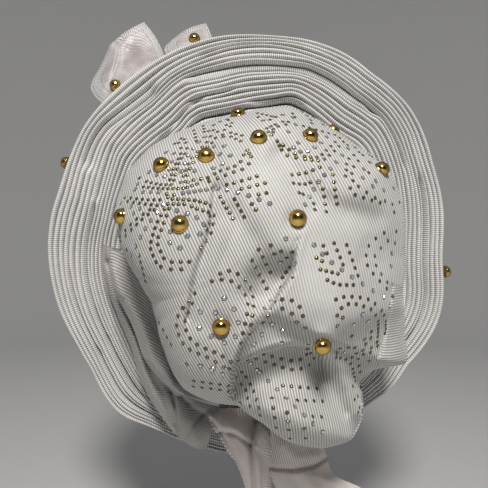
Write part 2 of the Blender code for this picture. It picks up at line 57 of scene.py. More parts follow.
# Studio: a round floor that curves up into a wall. The key light's lengths are in metres.
FLOOR_Z = -300.0
FLOOR_RADII = (0.0, 600.0, 1500.0)
COVE_RADIUS = 1000.0
WALL_TOP_Z = 2600.0
STUDIO_SIDES = 96
SKY_COLOUR = (0.93, 0.95, 1.0)
SKY_STRENGTH = 0.28
KEY_LIGHT = {"place": (0.0, -1.2, 1.2), "aim": (0.0, 0.0, 0.08), "size": 0.4, "power": 28.5,
             "colour": (1.0, 0.97, 0.93)}

# Cloth. Depths of bump are in metres. A span is where a wave passes from groove to crest.
TURN = 2 * math.pi
RIB_PITCH = 2.09
RIB_DEPTH = 0.00028
RIB_SPAN = (-0.9, 0.7)
CALM_RIB = 0.8
WANDER_SCALE = 90.0
WANDER_SHARE = 0.5
WEAVE_PITCH = 0.7
WEAVE_SHARE = 0.10
GRAIN_SCALE = 1400.0
GRAIN_SHARE = 0.35
BAND_RIBS_PER_TURN = 290.0
BAND_RIB_DEPTH = 0.00025

# Fan
FAN_CENTRE_Z = 63.0
FAN_PX_TO_MM = 1.027
PLEATS = 17
FAN_SEAM = (108.0, 128.0, 17.0)
FAN_ANGLES = 400
SEAM_FORWARD = 20.0
FAN_KNOT_TURNS = (0.0, 4.0, 7.0, 8.0, 13.0, 15.0, 17.0)
INNER_STEP_PX = 10.0
RING_SMOOTH = 1.1
DEPTH_SMOOTH = 4.0

# Unevenness of the pleats: height, waves round the ring, and how far each pleat's waves shift
PLEAT_RIPPLES = [(0.7, 5, 1.7), (0.5, 11, -2.3)]

# Half of one pleat, from its valley to its crest, as a share of the pitch and of the fold's depth
PleatPoint = namedtuple("PleatPoint", "share rise")
PLEAT_PROFILE = [PleatPoint(*row) for row in [
    (0.00, 0.00), (0.02, 0.28), (0.05, 0.60), (0.10, 0.82), (0.17, 0.915), (0.27, 0.97),
    (0.39, 0.995), (0.50, 1.00),
]]

# Radii of the fan in pixels, at the rim and at four knots on the way in
FanRow = namedtuple("FanRow", "angle rim a b c d")
FAN_ROWS = [FanRow(*row) for row in [
    (-160, 209, 195, 187, 184, 172),
    (-155, 208, 198, 187, 183, 170),
    (-150, 209.5, 197, 187.5, 184, 170),
    (-146, 212.5, 198.7, 187, 183.5, 168),
    (-143, 214, 199, 184.7, 181, 165),
    (-140, 213, 198.2, 182.6, 178.5, 162),
    (-137, 210.5, 195.5, 179.7, 175.5, 159),
    (-134, 207.5, 191.8, 177, 172.5, 156),
    (-131, 204, 189, 174.7, 170, 153.5),
    (-128, 201, 186.3, 172.6, 168, 151),
    (-125, 200, 183.8, 170.5, 165.8, 149),
    (-120, 198.4, 181.9, 168.3, 163.5, 147),
    (-115, 198.3, 181.3, 167.3, 162, 145),
    (-110, 199, 181, 166.5, 161, 144),
    (-100, 199.3, 180.5, 165, 160, 142),
    (-90, 200.2, 179, 162.2, 157.5, 139),
    (-80, 199.4, 176.6, 159.3, 154.5, 136),
    (-75, 198, 175.5, 160, 155, 136),
    (-70, 198.3, 177, 161, 156, 136.5),
    (-65, 200.3, 179.5, 163, 158, 137.5),
    (-60, 202.3, 183, 166, 161, 139),
    (-55, 204.9, 186, 169.8, 165, 141.5),
    (-50, 205.9, 186.6, 170.3, 165.3, 141.5),
    (-45, 206.3, 183.2, 171, 165, 140),
    (-40, 206.6, 181.2, 170.5, 165, 139),
    (-35, 207.8, 181, 170.4, 165.5, 138.5),
    (-30, 209, 183.8, 173.4, 168, 140.5),
    (-25, 210, 188.5, 178.4, 171.5, 146),
    (-20, 211.3, 191.1, 181.5, 174.3, 148.5),
    (-15, 212, 193, 181.2, 172.8, 147.5),
    (-10, 212.7, 195.5, 181.2, 172.4, 147),
    (-5, 212.8, 198, 182.3, 174.7, 148),
    (0, 212.5, 199.3, 183.4, 176.9, 150),
    (5, 212.6, 200.2, 184.3, 178, 152.5),
    (10, 213.4, 200.5, 185.4, 180.5, 156),
    (15, 214.9, 200, 187.5, 182, 161.5),
    (18, 215.2, 199.5, 189.5, 182.4, 162),
    (25, 215.1, 198.5, 188, 181.6, 158),
    (30, 213.8, 196.8, 186, 179.8, 155.5),
    (35, 211.5, 195.3, 184, 178.2, 153.5),
    (40, 212.1, 195.7, 184.5, 180, 154.5),
    (46, 212.4, 196.4, 185.5, 181.5, 158),
    (50, 211.6, 195, 183.8, 179.8, 158.5),
    (55, 208.9, 192.3, 181, 176.5, 156),
    (60, 205.7, 187.8, 177.5, 173, 153),
    (65, 202.3, 185, 174.5, 170, 150.5),
    (70, 200.8, 183.5, 171.5, 167, 147.5),
    (75, 200.3, 181.7, 169, 164.5, 145),
    (80, 199, 179.6, 166.5, 162.3, 142),
    (85, 197, 178, 164.5, 160.3, 140),
    (90, 195.4, 177, 163.2, 159, 138.5),
    (95, 195.8, 177.4, 163.8, 159.5, 139),
    (100, 199.7, 180, 166, 161.8, 141.5),
    (105, 203.4, 184.4, 170.3, 165.5, 145.5),
    (110, 205.6, 187, 173.5, 169, 149.5),
    (115, 205.2, 187.7, 174.5, 170.3, 151.5),
    (120, 203.3, 186, 174, 170, 152),
    (127, 200, 184.5, 173.5, 169.5, 153),
    (135, 204.3, 188.5, 178, 173.5, 158),
    (142, 202, 189, 180, 176, 162),
    (150, 203.5, 191, 184, 180, 167),
    (165, 206.4, 196, 189, 186, 173),
    (180, 214.2, 203, 197, 193, 179),
    (192, 210, 198, 190, 187, 176),
]]

FanDepthRow = namedtuple("FanDepthRow", "angle forward fold_depth")
FAN_DEPTH_ROWS = [FanDepthRow(*row) for row in [
    (0, 20, 16), (32, 15, 16), (60, 17, 16), (90, 20, 15), (127, 21, 14), (150, 25, 12),
    (180, 26, 10), (217, 22, 13), (245, 15, 16), (270, 14, 16), (306, 19, 16), (341, 21, 16),
]]

# Creases of the fan that lie deeper than their neighbours
FanCrease = namedtuple("FanCrease", "start end start_turn end_turn sink spread")
FAN_CREASES = [FanCrease(*row) for row in [
    (-152, -126, 4, 4, 5, 0.6),
    (-125, -100, 4, 4, 4, 0.35),
    (-62, -33, 4, 4, 8, 1.3),
    (-12, 0, 3, 3, 5, 0.3),
    (70, 124, 4, 4, 7, 0.5),
    (-144, -124, 7, 7, 10, 0.5),
    (-120, -77, 7, 7, 6, 0.45),
    (-71, -56, 7, 7, 4, 0.9),
    (43, 61, 7, 7, 5, 0.5),
    (-18, 42, 7.6, 7.6, 8, 0.9),
    (-38, -20, 13, 11.5, 6, 0.45),
    (-20, -8, 11.5, 11, 5, 0.45),
    (83, 109, 9.2, 8.4, 6, 0.45),
    (-22, -4, 15, 15, 5, 0.6),
    (3, 20, 14.6, 15, 6, 0.6),
]]
CREASE_FADE = 4.0

# Crown
CROWN_CENTRE_Z = 20.0
CROWN_SEAM = (90.0, 104.0, 0.0)
CROWN_SEAM_Y = 25.35
CROWN_POLE = (-28.0, -152.0, 36.0)
CROWN_ROUNDNESS = 2.6
CROWN_RING_POWERS = (1.7, 0.8)
CROWN_COLUMNS = 540
CROWN_BACK_RINGS = 125
CROWN_UNDER_STEPS = 30
EDGE_SMOOTH = 1.0
EDGE_Y_SMOOTH = 2.0
EDGE_SHARE_OF_RELIEF = 0.94
SIDE_RIBS = 360
SIDE_RIB_START = 0.90
SIDE_RIB_FULL = 0.965

CrownRow = namedtuple("CrownRow", "angle edge edge_y")
CROWN_ROWS = [CrownRow(*row) for row in [
    (0, 163, -40), (12, 172, -40), (26, 165, -42), (36, 163, -43), (47, 167, -44), (58, 159, -42),
    (75, 142, -40), (89, 136, -38), (104, 142, -38), (110, 150, -39), (113, 152, -40),
    (116, 140, -42), (120, 127, -44), (127, 121, -50), (136, 141, -57), (144, 150, -60),
    (154, 143, -60), (165, 128, -55), (173, 111, -48), (185, 96, -42), (200, 99, -38),
    (215, 100, -36), (237, 88, -40), (255, 83, -44), (268, 85, -46), (280, 98, -46),
    (293, 123, -45), (305, 142, -44), (316, 153, -42), (327, 158, -40), (343, 158, -40),
]]
UnderRow = namedtuple("UnderRow", "share outward backward")
UNDER_ROWS = [UnderRow(*row) for row in [
    (0.00, 0.00, 0.00), (0.22, 0.10, 0.20), (0.50, 0.38, 0.47), (0.78, 0.75, 0.75),
    (1.00, 1.00, 1.00),
]]

# Folds along runs of pixels, which are grooves, steps or both. Depths are in millimetres, widths
# in pixels. Going along a run, the cloth on the right lies lower by the drop, as far away as the
# reach, and the lip stands on the left. The mounds stand out, or sink where they are below zero.
Fold = namedtuple("Fold", "run_px depth width drop reach ease lip lip_width",
                  defaults=(0.0, 1.0, 1.0, 0.0, 1.0))
Mound = namedtuple("Mound", "x_px y_px half_width half_height height")
FOLD_END_FADE_PX = 12.0
FAR_PX = 1000.0

# Relief of the crown's back left and right of the overlap. The right-hand cloth lies on top.
OVERLAP_PX = [(299, 240), (296, 252), (292, 272), (281, 290), (268, 312), (253, 330), (242, 349),
              (236, 366), (231, 398)]
OVERLAP_EASE_PX = 2.6
STRIP_LINE_PX = [(392, 286), (389, 310), (384, 335), (379, 356)]
UPPER_VALLEY = Fold([(280, 156), (299, 179), (320, 200), (345, 212), (374, 218)], 8, 14)
UPPER_SWELL = Mound(357, 180, 44, 36, 4)
LEFT_FOLDS = [
    Fold(OVERLAP_PX, 4, 2.4),
    Fold([(246, 290), (251, 275), (262, 263), (282, 259), (302, 260)], 0, 1, 18, 44, 9),
    Fold([(187, 318), (191, 302), (193, 285), (199, 262), (205, 245), (211, 222), (214, 190)],
         3.5, 3.6, 3.5, 24, 2.2, 1.5, 8),
    Fold([(234, 213), (246, 230), (262, 252)], 4.5, 12),
    Fold([(206, 122), (216, 160), (218, 186)], 2, 7),
    Fold([(150, 180), (185, 176), (215, 190)], 2.2, 8),
    UPPER_VALLEY,
    Fold([(378, 150), (368, 172), (372, 196)], 2.4, 7),
]
RIGHT_FOLDS = [
    Fold(OVERLAP_PX, 0, 1, 0, 1, 1, 3, 5),
    Fold([(226, 376), (242, 362), (258, 354), (278, 347), (298, 344), (316, 347)],
         3, 2.2, 17, 42, 1.4, 3.5, 5),
    Fold([(350, 440), (334, 427), (312, 413), (290, 402), (262, 396), (228, 402)],
         0, 1, 24, 60, 11),
    Fold([(262, 308), (284, 321), (304, 332)], 0, 1, 8, 30, 7),
    Fold([(316, 341), (330, 338), (346, 331), (370, 322), (398, 312)], 0, 1, 16, 60, 9),
    UPPER_VALLEY,
    Fold([(315, 352), (320, 370), (330, 390), (344, 412)], 6, 8),
    Fold([(327, 354), (340, 370), (351, 390), (357, 412)], -9, 7.5),
    Fold([(328, 347), (346, 352), (362, 362), (378, 364)], 4, 3.6),
    Fold([(370, 240), (362, 262), (372, 284)], 1.8, 7),
    Fold(STRIP_LINE_PX, 4, 2),
]
LEFT_MOUNDS = [
    Mound(276, 292, 22, 24, -7),
    UPPER_SWELL,
    Mound(152, 310, 30, 60, 3),
    Mound(262, 205, 34, 30, 3),
]
RIGHT_MOUNDS = [
    Mound(354, 298, 54, 42, 10),
    UPPER_SWELL,
    Mound(386, 250, 14, 22, -8),
    Mound(374, 352, 18, 14, -8),
    Mound(312, 434, 56, 24, 5),
]

# Folds of the swag, of the bow ends and of the ties
SWAG_FOLDS = [
    Fold([(108, 262), (114, 289), (134, 326), (145, 359), (169, 389), (181, 396)],
         5, 2.6, 5, 16, 1.4, 2, 6),
    Fold([(112, 272), (124, 296), (142, 326), (154, 356), (176, 384)], -5, 6.5),
    Fold([(118, 312), (131, 342), (146, 385), (164, 418)], -3, 6),
    Fold([(123, 300), (139, 336), (150, 372), (166, 402), (176, 426)], 4.5, 3),
    Fold([(168, 384), (174, 396), (177, 414), (179, 438)], 7, 2.4, 7, 16, 1.2, 4, 8),
    Fold([(176, 394), (188, 412), (196, 440)], -3.5, 5),
    Fold([(182, 396), (192, 408), (204, 414)], 4, 2.2, 4, 12, 1.2, 2, 4),
    Fold([(206, 412), (196, 420), (184, 438)], 2.5, 2.4),
]
TAB_FOLDS = [
    Fold([(113, 43), (119, 51), (116, 64), (111, 79), (106, 90)], 1.5, 1.6, -3, 12, 1.2),
    Fold([(134, 42), (128, 54), (124, 70)], 3, 7),
    Fold([(128, 50), (136, 60), (142, 72)], 2.4, 6),
    Fold([(176, 38), (190, 33), (206, 30)], 1.4, 2),
]
TIE_FOLDS = [
    Fold([(257, 420), (252, 446), (255, 488)], 6, 3, 6, 16, 1.4, 3, 6),
    Fold([(206, 404), (222, 408), (240, 414), (256, 420)], 14, 10),
    Fold([(208, 436), (222, 431), (236, 434), (250, 444)], 5, 2.6, 3, 14, 1.4, 2, 5),
    Fold([(212, 420), (222, 432), (232, 448), (240, 470)], 4, 2, 5, 14, 1.2, 2, 5),
    Fold([(224, 414), (236, 432), (246, 452), (252, 484)], -4, 5),
    Fold([(272, 468), (294, 470), (314, 466), (326, 458)], 4, 2.2),
    Fold([(284, 446), (296, 458), (318, 456)], -2.5, 6),
    Fold([(300, 474), (320, 478), (340, 488)], -2.5, 6),
]

# Ribs of the crown: their slope below level, the turn of those right of the overlap and of those
# on the lobe, and the slope on the strip at the right edge
RIB_SLOPE = 64.0
RIB_BEND = -0.0009
OVERLAP_PIVOT_PX = (294.0, 251.0)
OVERLAP_PIVOT_Y = -120.0
RIB_TURN_ABOVE_PX = 30
RIB_TURN_RUN_PX = 70.0
OVERLAP_RIB_TURN = 10.0
LOBE_RIB_TURN = 16.0
STRIP_RIB_SLOPE = 4.0
LOBE_TOP_PX = [(232, 364), (252, 355), (275, 349), (303, 348), (330, 348), (345, 352), (420, 356)]

# Spots of the crown where the ribs are weaker, by a share that their height gives. They stand for
# full light on the cloth there: the ribs' bump and their painted groove shade both fade.
CALM_SPOTS = [
    Mound(326, 262, 44, 58, 0.6),
    Mound(268, 178, 34, 40, 0.4),
    Mound(346, 318, 40, 30, 0.4),
]

# Folded edges of the crown's cloth, where one layer ends on another. Each is a roll that leans
# off its line by a share of its radius. Its place on a rib, from pale crest to dark groove, sets
# its colour; the overlap's edge is painted dark, as the shadow in its crease.
FoldedEdge = namedtuple("FoldedEdge", "name run_px radius lean rib_place")
FOLDED_EDGES = [
    FoldedEdge("overlap_edge", OVERLAP_PX, 0.85, -0.4, 0.5),
    FoldedEdge("lobe_edge", [(237, 363), (249, 357), (262, 352), (278, 347), (296, 344),
                             (312, 346)], 0.85, -0.2, 0.1),
]
EDGE_STEPS = 120
EDGE_SIDES = 8
EDGE_EASE_STEPS = 5.0
EDGE_TAPER = 0.12
EDGE_THINNEST = 0.05
EDGE_FLATNESS = 0.7

# Swag at the crown's left edge
SwagRow = namedtuple("SwagRow", "section crest crest_y outer outer_y")
SWAG_ROWS = [SwagRow(*row) for row in [
    (24.4, 105, -43, 155, -28),
    (25, 106, -44, 158, -24),
    (26, 108, -46, 155, -18),
    (27, 110, -48, 149, -12),
    (28, 110, -50, 144, -8),
    (29, 110, -51, 138, -6),
    (30, 109, -52, 132, -5),
    (31, 107, -52, 130, -5),
    (32, 108, -51, 131, -6),
    (33, 113, -50, 135, -8),
    (34, 121, -48, 141, -10),
    (35, 127, -46, 146, -14),
    (36, 133, -44, 147, -22),
]]
SECTION_STEP = 8.0
SWAG_SEAT_SHARE = 0.75
SWAG_SEAT_GAP = 1.5
SWAG_EDGE_GAP = 2.0
SWAG_TUCK_STEP = 3.0
SWAG_TUCK_FORWARD = 24.0
SWAG_ROLL = 4.0
SWAG_PANEL_SHARE = 0.55
SWAG_PANEL_BACK = 10.0
SWAG_STEPS = 200
SWAG_COLUMNS = 90
SWAG_HELD_SHARE = 0.12
SWAG_FREE_SHARE = 0.15
SWAG_INNER_SLOPE = 48.0
SWAG_OUTER_SLOPE = 6.0
SWAG_RIB_START_X = 100.0

# Strips of cloth: a row for each station
StripRow = namedtuple("StripRow", "left_x left_z right_x right_z y crown")
TIE_LEFT_ROWS = [StripRow(*row) for row in [
    (-37, -88, 8, -86, -34, 3),
    (-37, -99, 8, -96, -38, 5),
    (-28, -114, 16, -109, -38, 7),
    (-20, -129, 23, -123, -36, 7),
    (-12, -141, 26, -137, -33, 6),
    (-3, -169, 21, -168, -28, 5),
    (1, -200, 26, -198, -25, 4),
    (3, -232, 31, -229, -23, 3),
]]
TIE_RIGHT_ROWS = [StripRow(*row) for row in [
    (20, -106, 66, -108, -36, 4),
    (19, -119, 69, -121, -38, 6),
    (18, -133, 73, -136, -38, 8),
    (19, -148, 79, -150, -36, 9),
    (25, -164, 104, -163, -33, 9),
    (36, -184, 126, -180, -29, 8),
    (52, -206, 146, -198, -25, 6),
    (68, -228, 162, -216, -23, 5),
]]
TAB_LEFT_ROWS = [StripRow(*row) for row in [
    (-124, 192, -70, 222, 30, 2),
    (-132, 202, -78, 232, 44, 4),
    (-163, 222, -92, 268, 62, 7),
    (-183, 247, -101, 292, 78, 9),
    (-173, 275, -111, 311, 84, 8),
    (-163, 300, -123, 327, 87, 5),
]]
TAB_RIGHT_ROWS = [StripRow(*row) for row in [
    (-64, 236, -28, 246, 30, 2),
    (-72, 246, -34, 256, 42, 3),
    (-84, 268, -36, 282, 56, 5),
    (-96, 289, -43, 305, 70, 6),
    (-80, 309, -49, 321, 77, 4),
]]
STRIP_COLUMNS = 40
STRIP_STEPS = 90
STRIP_TWIST = 2.5
STRIP_CALM_SHARE = 0.5

# Bow ends: a darker ribbed hem with two rows of stitches, and weaker ribs inside it
BOW_RIB_SPAN = (-0.8, 0.6)
BOW_RIB_DEPTH = 0.0002
HEM_WIDTH = 8.5
HEM_LEFT_WIDER = 1.9
HEM_EASE = 0.6
STITCH_INSETS = (HEM_WIDTH, 1.8)
STITCH_PITCH = 2.4
HEM_COLOUR = (0.21, 0.20, 0.20)
BOW_RIB_COLOUR = (0.74, 0.725, 0.72)
STITCH_COLOUR = (0.26, 0.22, 0.23)

# Small stones of the crown, in pixels: rows of evenly spaced stones, each as a count and the
# corners of its line, and stones that stand alone
GOLD_ROWS = [
    # Upper left
    (4, (193.9, 130.6), (196.5, 140.8)), (3, (203.2, 126.1), (204.4, 131.9)),
    (8, (185.9, 142.7), (186.6, 151.0), (179.9, 161.5), (174.1, 180.4)),
    (8, (178.6, 143.0), (181.2, 152.0), (173.8, 168.2), (170.3, 180.0)),
    (6, (192.0, 158.0), (185.6, 171.4), (178.3, 188.6)),
    (6, (196.7, 156.6), (189.1, 170.5), (183.1, 188.3)),
    (5, (213.4, 130.3), (207.6, 141.5), (197.4, 151.8)),
    (5, (217.5, 131.9), (214.0, 140.8), (202.2, 151.0)), (4, (228.4, 120.4), (222.6, 134.8)),
    (3, (230.6, 132.8), (241.7, 135.6)), (3, (231.2, 136.7), (240.9, 141.1)),
    (3, (247.0, 150.4), (251.0, 156.8)),
    (6, (248.8, 163.8), (243.0, 169.0), (232.8, 172.4), (209.2, 181.3)),
    (9, (243.7, 155.0), (237.6, 164.7), (219.4, 171.1), (207.3, 177.8), (193.6, 180.0)),
    (3, (196.8, 184.1), (187.2, 187.4)),
    # Rows on the left
    (6, (146.5, 181.6), (159.0, 184.4), (171.1, 184.8)),
    (9, (143.4, 187.0), (163.0, 188.6), (183.0, 188.4)),
    (7, (124.9, 197.5), (143.0, 199.4), (160.1, 199.8)),
    (8, (172.4, 199.1), (192.3, 200.1), (205.7, 203.0), (210.2, 205.8)),
    (6, (127.7, 201.4), (143.0, 203.8), (157.4, 205.2)), (4, (167.9, 204.1), (184.3, 204.1)),
    (4, (191.7, 206.3), (198.1, 209.0), (208.6, 212.2)),
    (5, (226.6, 184.8), (242.2, 180.7), (256.9, 176.2)), (4, (241.5, 188.9), (265.0, 183.1)),
    (5, (220.3, 196.9), (232.8, 218.6)), (4, (234.7, 199.1), (244.3, 216.7)),
    # Lower left
    (7, (150.1, 209.5), (133.0, 222.2), (115.0, 242.8)),
    (7, (154.2, 209.8), (139.1, 222.1), (120.6, 240.9)),
    (9, (164.7, 209.0), (155.8, 226.2), (150.6, 247.0), (156.1, 262.0)),
    (8, (169.1, 208.6), (161.8, 229.0), (157.7, 242.2), (164.1, 258.1)),
    (3, (172.0, 261.7), (189.4, 261.6)), (3, (160.8, 266.8), (171.0, 269.4), (181.2, 269.3)),
    (3, (209.9, 215.4), (209.9, 220.8), (207.3, 229.4)),
    (5, (214.0, 215.4), (211.1, 232.9), (200.9, 247.9)), (5, (139.1, 255.3), (145.4, 281.2)),
    (4, (129.6, 267.7), (139.5, 284.1)), (4, (159.3, 322.8), (170.9, 344.1)),
    (3, (106.8, 226.6), (103.4, 238.4)),
    # Top, and the round field by the third dome
    (5, (257.6, 113.4), (275.7, 117.2)), (2, (282.7, 121.7), (288.5, 122.0)),
    (3, (275.1, 124.6), (266.8, 128.4)), (3, (278.3, 126.5), (268.5, 131.9)),
    (4, (302.3, 108.6), (307.3, 108.8), (309.8, 112.4), (313.0, 117.3)),
    (6, (303.5, 126.1), (319.4, 130.7), (334.7, 135.1)), (3, (277.0, 141.1), (281.5, 149.7)),
    (3, (283.1, 145.3), (295.3, 153.6)),
    (8, (304.7, 156.4), (318.1, 156.9), (329.3, 147.5), (339.5, 138.0)),
    (8, (305.1, 159.3), (320.1, 160.6), (330.3, 154.5), (343.3, 141.8)),
    (5, (319.7, 167.3), (305.7, 172.7), (291.7, 174.9)),
    (4, (310.5, 182.3), (303.8, 184.3), (293.4, 183.2)),
    (6, (359.1, 152.3), (348.1, 160.0), (345.5, 176.0)),
    (5, (362.6, 155.2), (352.1, 169.5), (352.7, 180.7)), (5, (332.8, 174.9), (336.9, 203.9)),
    (4, (322.9, 189.0), (326.3, 211.6)),
    (5, (350.0, 188.0), (354.5, 194.3), (364.0, 197.9), (380.2, 202.6)),
    (4, (358.2, 186.4), (373.5, 196.9), (385.0, 201.0)),
    # Right
    (8, (384.0, 232.9), (369.3, 244.7), (367.4, 265.1), (386.6, 288.6)),
    (6, (387.8, 240.6), (375.1, 255.3), (376.0, 265.5), (387.2, 282.2)),
    (4, (334.1, 243.1), (342.9, 264.6)), (5, (346.8, 245.0), (357.9, 275.6)),
    (4, (320.5, 269.5), (337.7, 273.7)), (5, (327.3, 280.0), (338.5, 284.5), (353.3, 285.0)),
    (6, (336.0, 299.4), (346.9, 296.6), (365.8, 298.5), (375.1, 303.6)),
    (6, (341.6, 308.0), (351.8, 303.6), (370.9, 309.0), (375.7, 315.1)),
    (5, (378.3, 321.1), (377.9, 336.1)), (4, (385.6, 321.1), (385.0, 333.2)),
    # Centre
    (4, (258.5, 249.5), (270.4, 272.2)), (5, (252.3, 260.3), (266.7, 288.5)),
    (3, (289.6, 267.6), (282.6, 277.2)),
    (8, (292.7, 277.2), (281.1, 286.4), (275.7, 301.4), (263.3, 322.4)),
    (10, (220.1, 273.6), (229.6, 270.9), (246.2, 280.4), (253.5, 302.1), (249.4, 334.3)),
    (10, (212.1, 281.0), (230.9, 280.7), (247.5, 301.8), (241.1, 342.9)),
    (12, (194.9, 293.2), (177.0, 319.0), (184.3, 345.1), (209.5, 358.2), (223.6, 366.8)),
    (10, (192.3, 303.4), (185.0, 322.8), (193.0, 341.6), (219.5, 354.3), (230.5, 361.7)),
    (5, (193.7, 381.0), (228.5, 385.7)), (5, (193.2, 386.4), (228.5, 391.1)),
    (4, (299.6, 306.8), (291.4, 313.2), (304.4, 316.7), (296.8, 322.1)),
    # Lobe
    (4, (238.2, 360.7), (258.6, 358.5), (264.0, 354.3)),
    (4, (272.0, 356.6), (290.5, 360.7), (300.7, 359.5)),
    (7, (265.6, 362.0), (293.7, 369.7), (311.5, 363.8), (314.0, 358.2)),
    (3, (307.9, 344.0), (306.9, 354.3)), (3, (245.8, 390.1), (249.7, 406.0)),
    (3, (253.8, 391.3), (258.9, 407.9)), (4, (272.0, 398.0), (276.1, 427.4)),
    (4, (287.0, 412.7), (290.0, 438.5)), (5, (283.1, 385.6), (316.8, 388.7)),
    (4, (297.5, 400.3), (322.3, 401.2)), (4, (352.9, 369.0), (355.2, 381.1)),
    (6, (339.9, 348.3), (336.5, 352.1), (341.4, 359.0), (350.0, 358.4), (356.6, 353.4)),
    (5, (360.9, 387.2), (366.0, 388.8), (370.5, 396.1), (367.3, 398.7)),
]
SILVER_ROWS = [
    # Upper left
    (5, (198.7, 142.1), (188.5, 155.2), (181.5, 171.4)),
    (5, (227.1, 119.5), (214.3, 124.6), (204.8, 137.0)),
    (3, (213.7, 146.6), (219.7, 153.9), (222.6, 163.8)),
    (3, (174.0, 153.3), (172.1, 160.9), (169.2, 169.5)),
    (3, (149.0, 172.1), (157.1, 174.9), (164.7, 176.5)),
    # Rows on the left
    (3, (143.0, 192.0), (158.7, 192.1)), (7, (183.0, 193.1), (204.1, 190.0), (218.2, 188.8)),
    (5, (226.8, 190.0), (246.8, 195.0), (269.7, 203.6)),
    # Lower left
    (7, (163.1, 204.6), (146.2, 227.2), (131.0, 254.6)),
    (4, (176.8, 210.5), (170.5, 231.0), (169.8, 242.8)),
    (4, (187.2, 213.8), (203.2, 221.8), (200.0, 233.9)),
    # Top, and the round field by the third dome
    (6, (263.3, 120.4), (280.8, 114.7), (297.4, 120.7), (288.5, 131.6)),
    (4, (321.3, 117.5), (306.0, 121.7), (322.9, 124.6)),
    (7, (298.4, 142.7), (293.3, 147.2), (305.1, 152.3), (320.7, 143.0), (326.4, 137.0)),
    (9, (347.8, 148.5), (332.0, 167.0), (317.8, 182.9), (305.1, 204.6)),
    (3, (369.7, 162.2), (363.6, 169.8), (362.6, 177.8)),
    # Right
    (8, (314.0, 245.0), (330.6, 261.6), (362.3, 283.8), (383.7, 297.2)),
    # Centre
    (7, (224.2, 298.3), (238.2, 317.1), (231.2, 342.6), (209.9, 335.6), (199.3, 328.2)),
    (2, (270.9, 300.1), (265.2, 308.3)), (3, (200.4, 365.6), (222.9, 374.0)),
    # Lobe
    (9, (250.6, 363.3), (272.6, 385.0), (302.0, 413.0), (322.6, 431.8)),
]
GOLD_LONE_PX = [
    (181.2, 138.6), (184.3, 139.5), (174.8, 143.7), (231.9, 123.0), (230.3, 126.5),
    (223.3, 137.0), (188.2, 182.2), (139.5, 178.1), (169.8, 179.7), (166.6, 194.0),
    (174.0, 194.8), (167.9, 197.3), (121.0, 203.0), (251.9, 203.9), (255.8, 209.7),
    (126.8, 249.5), (258.5, 194.5), (266.5, 193.0), (258.2, 117.2), (270.0, 119.8),
    (292.6, 113.7), (294.7, 117.1), (285.6, 124.6), (273.2, 132.2), (271.5, 135.1),
    (302.2, 112.2), (307.0, 115.8), (312.3, 129.3), (287.2, 155.5), (296.1, 157.7),
    (349.1, 138.6), (352.6, 141.8), (347.5, 145.3), (360.4, 139.5), (361.4, 143.0),
    (372.2, 145.9), (303.1, 194.2), (299.3, 192.8), (313.4, 203.6), (314.9, 209.7),
    (392.3, 204.2), (394.2, 212.2), (399.3, 202.3), (369.0, 154.8), (371.9, 156.6),
    (377.9, 153.6), (383.9, 151.0), (384.0, 156.1), (368.7, 172.7), (396.4, 231.3),
    (395.2, 242.8), (323.2, 245.7), (326.7, 253.3), (316.5, 257.8), (322.0, 261.0),
    (337.3, 315.4), (342.7, 317.6), (337.3, 325.9), (381.5, 310.6), (384.0, 315.1),
    (392.3, 296.3), (371.3, 331.6), (370.9, 337.7), (364.6, 339.0), (351.8, 336.1),
    (270.6, 245.4), (274.1, 254.0), (281.1, 251.4), (286.6, 257.8), (292.3, 252.1),
    (282.1, 299.4), (282.4, 308.4), (229.3, 368.6), (187.0, 363.9), (291.7, 300.4),
    (305.1, 327.8), (310.5, 353.2), (241.4, 372.2), (236.3, 377.6), (246.1, 377.0),
    (241.0, 384.3), (250.6, 384.3), (260.2, 415.3), (312.8, 416.5), (321.4, 416.8),
    (304.1, 428.6), (305.4, 438.2), (352.9, 386.2), (357.7, 396.1), (354.5, 399.6),
    (359.3, 407.6), (358.0, 412.4), (366.3, 412.1), (336.4, 357.2), (348.3, 347.6),
    (354.9, 347.6), (358.1, 359.0), (350.7, 363.6), (365.6, 344.0), (363.0, 350.2),
    (363.4, 354.5), (371.2, 347.8), (370.4, 352.4), (377.0, 341.9), (377.5, 345.8),
    (369.0, 360.9), (358.7, 366.1), (360.3, 371.9),
]
SILVER_LONE_PX = [
    (224.2, 145.9), (230.3, 155.5), (213.4, 168.2), (194.6, 170.8), (166.0, 152.3),
    (137.6, 184.0), (135.1, 189.3), (131.0, 206.5), (139.8, 208.7), (133.5, 213.2),
    (180.1, 247.9), (187.5, 236.1), (114.0, 225.0), (119.4, 226.6), (117.8, 231.8),
    (111.5, 234.8), (355.0, 147.5), (364.2, 147.2), (377.6, 159.9), (375.7, 181.0),
    (372.8, 186.4), (387.5, 176.2), (383.7, 190.2), (393.6, 188.2), (392.0, 253.3),
    (391.0, 266.1), (389.7, 305.8), (362.6, 314.1), (353.7, 324.3), (368.1, 321.1),
    (285.9, 238.7), (280.2, 262.3), (295.8, 263.5), (272.2, 324.0), (261.9, 334.2),
    (282.4, 330.1), (281.8, 342.9), (285.1, 347.4), (254.0, 344.0), (200.3, 311.7),
    (215.6, 312.6), (213.4, 367.6), (257.0, 369.7), (234.7, 391.3), (240.4, 403.8),
    (344.6, 352.2), (361.9, 398.0), (362.5, 410.8), (361.2, 423.5),
]
LINE_STEPS = 60

# A stone's radius and the rings of its cut, as shares of the radius out and up, from its foot
# to its flat top. The lowest bands are a dark ring of painted shadow and dark reflection. Each
# stone is turned a little from the last.
StoneCut = namedtuple("StoneCut", "radius rings")
GOLD_CUT = StoneCut(1.42, [(1.2, -0.2), (1.14, 0.08), (0.58, 0.34), (0.5, 0.48), (0.24, 0.56)])
SILVER_CUT = StoneCut(1.75, [(1.12, -0.2), (1.1, 0.06), (0.76, 0.24), (0.66, 0.4), (0.36, 0.52)])
STONE_SIDES = 8
STONE_TURN = 1.7
SHADOW_RING_BANDS = 2

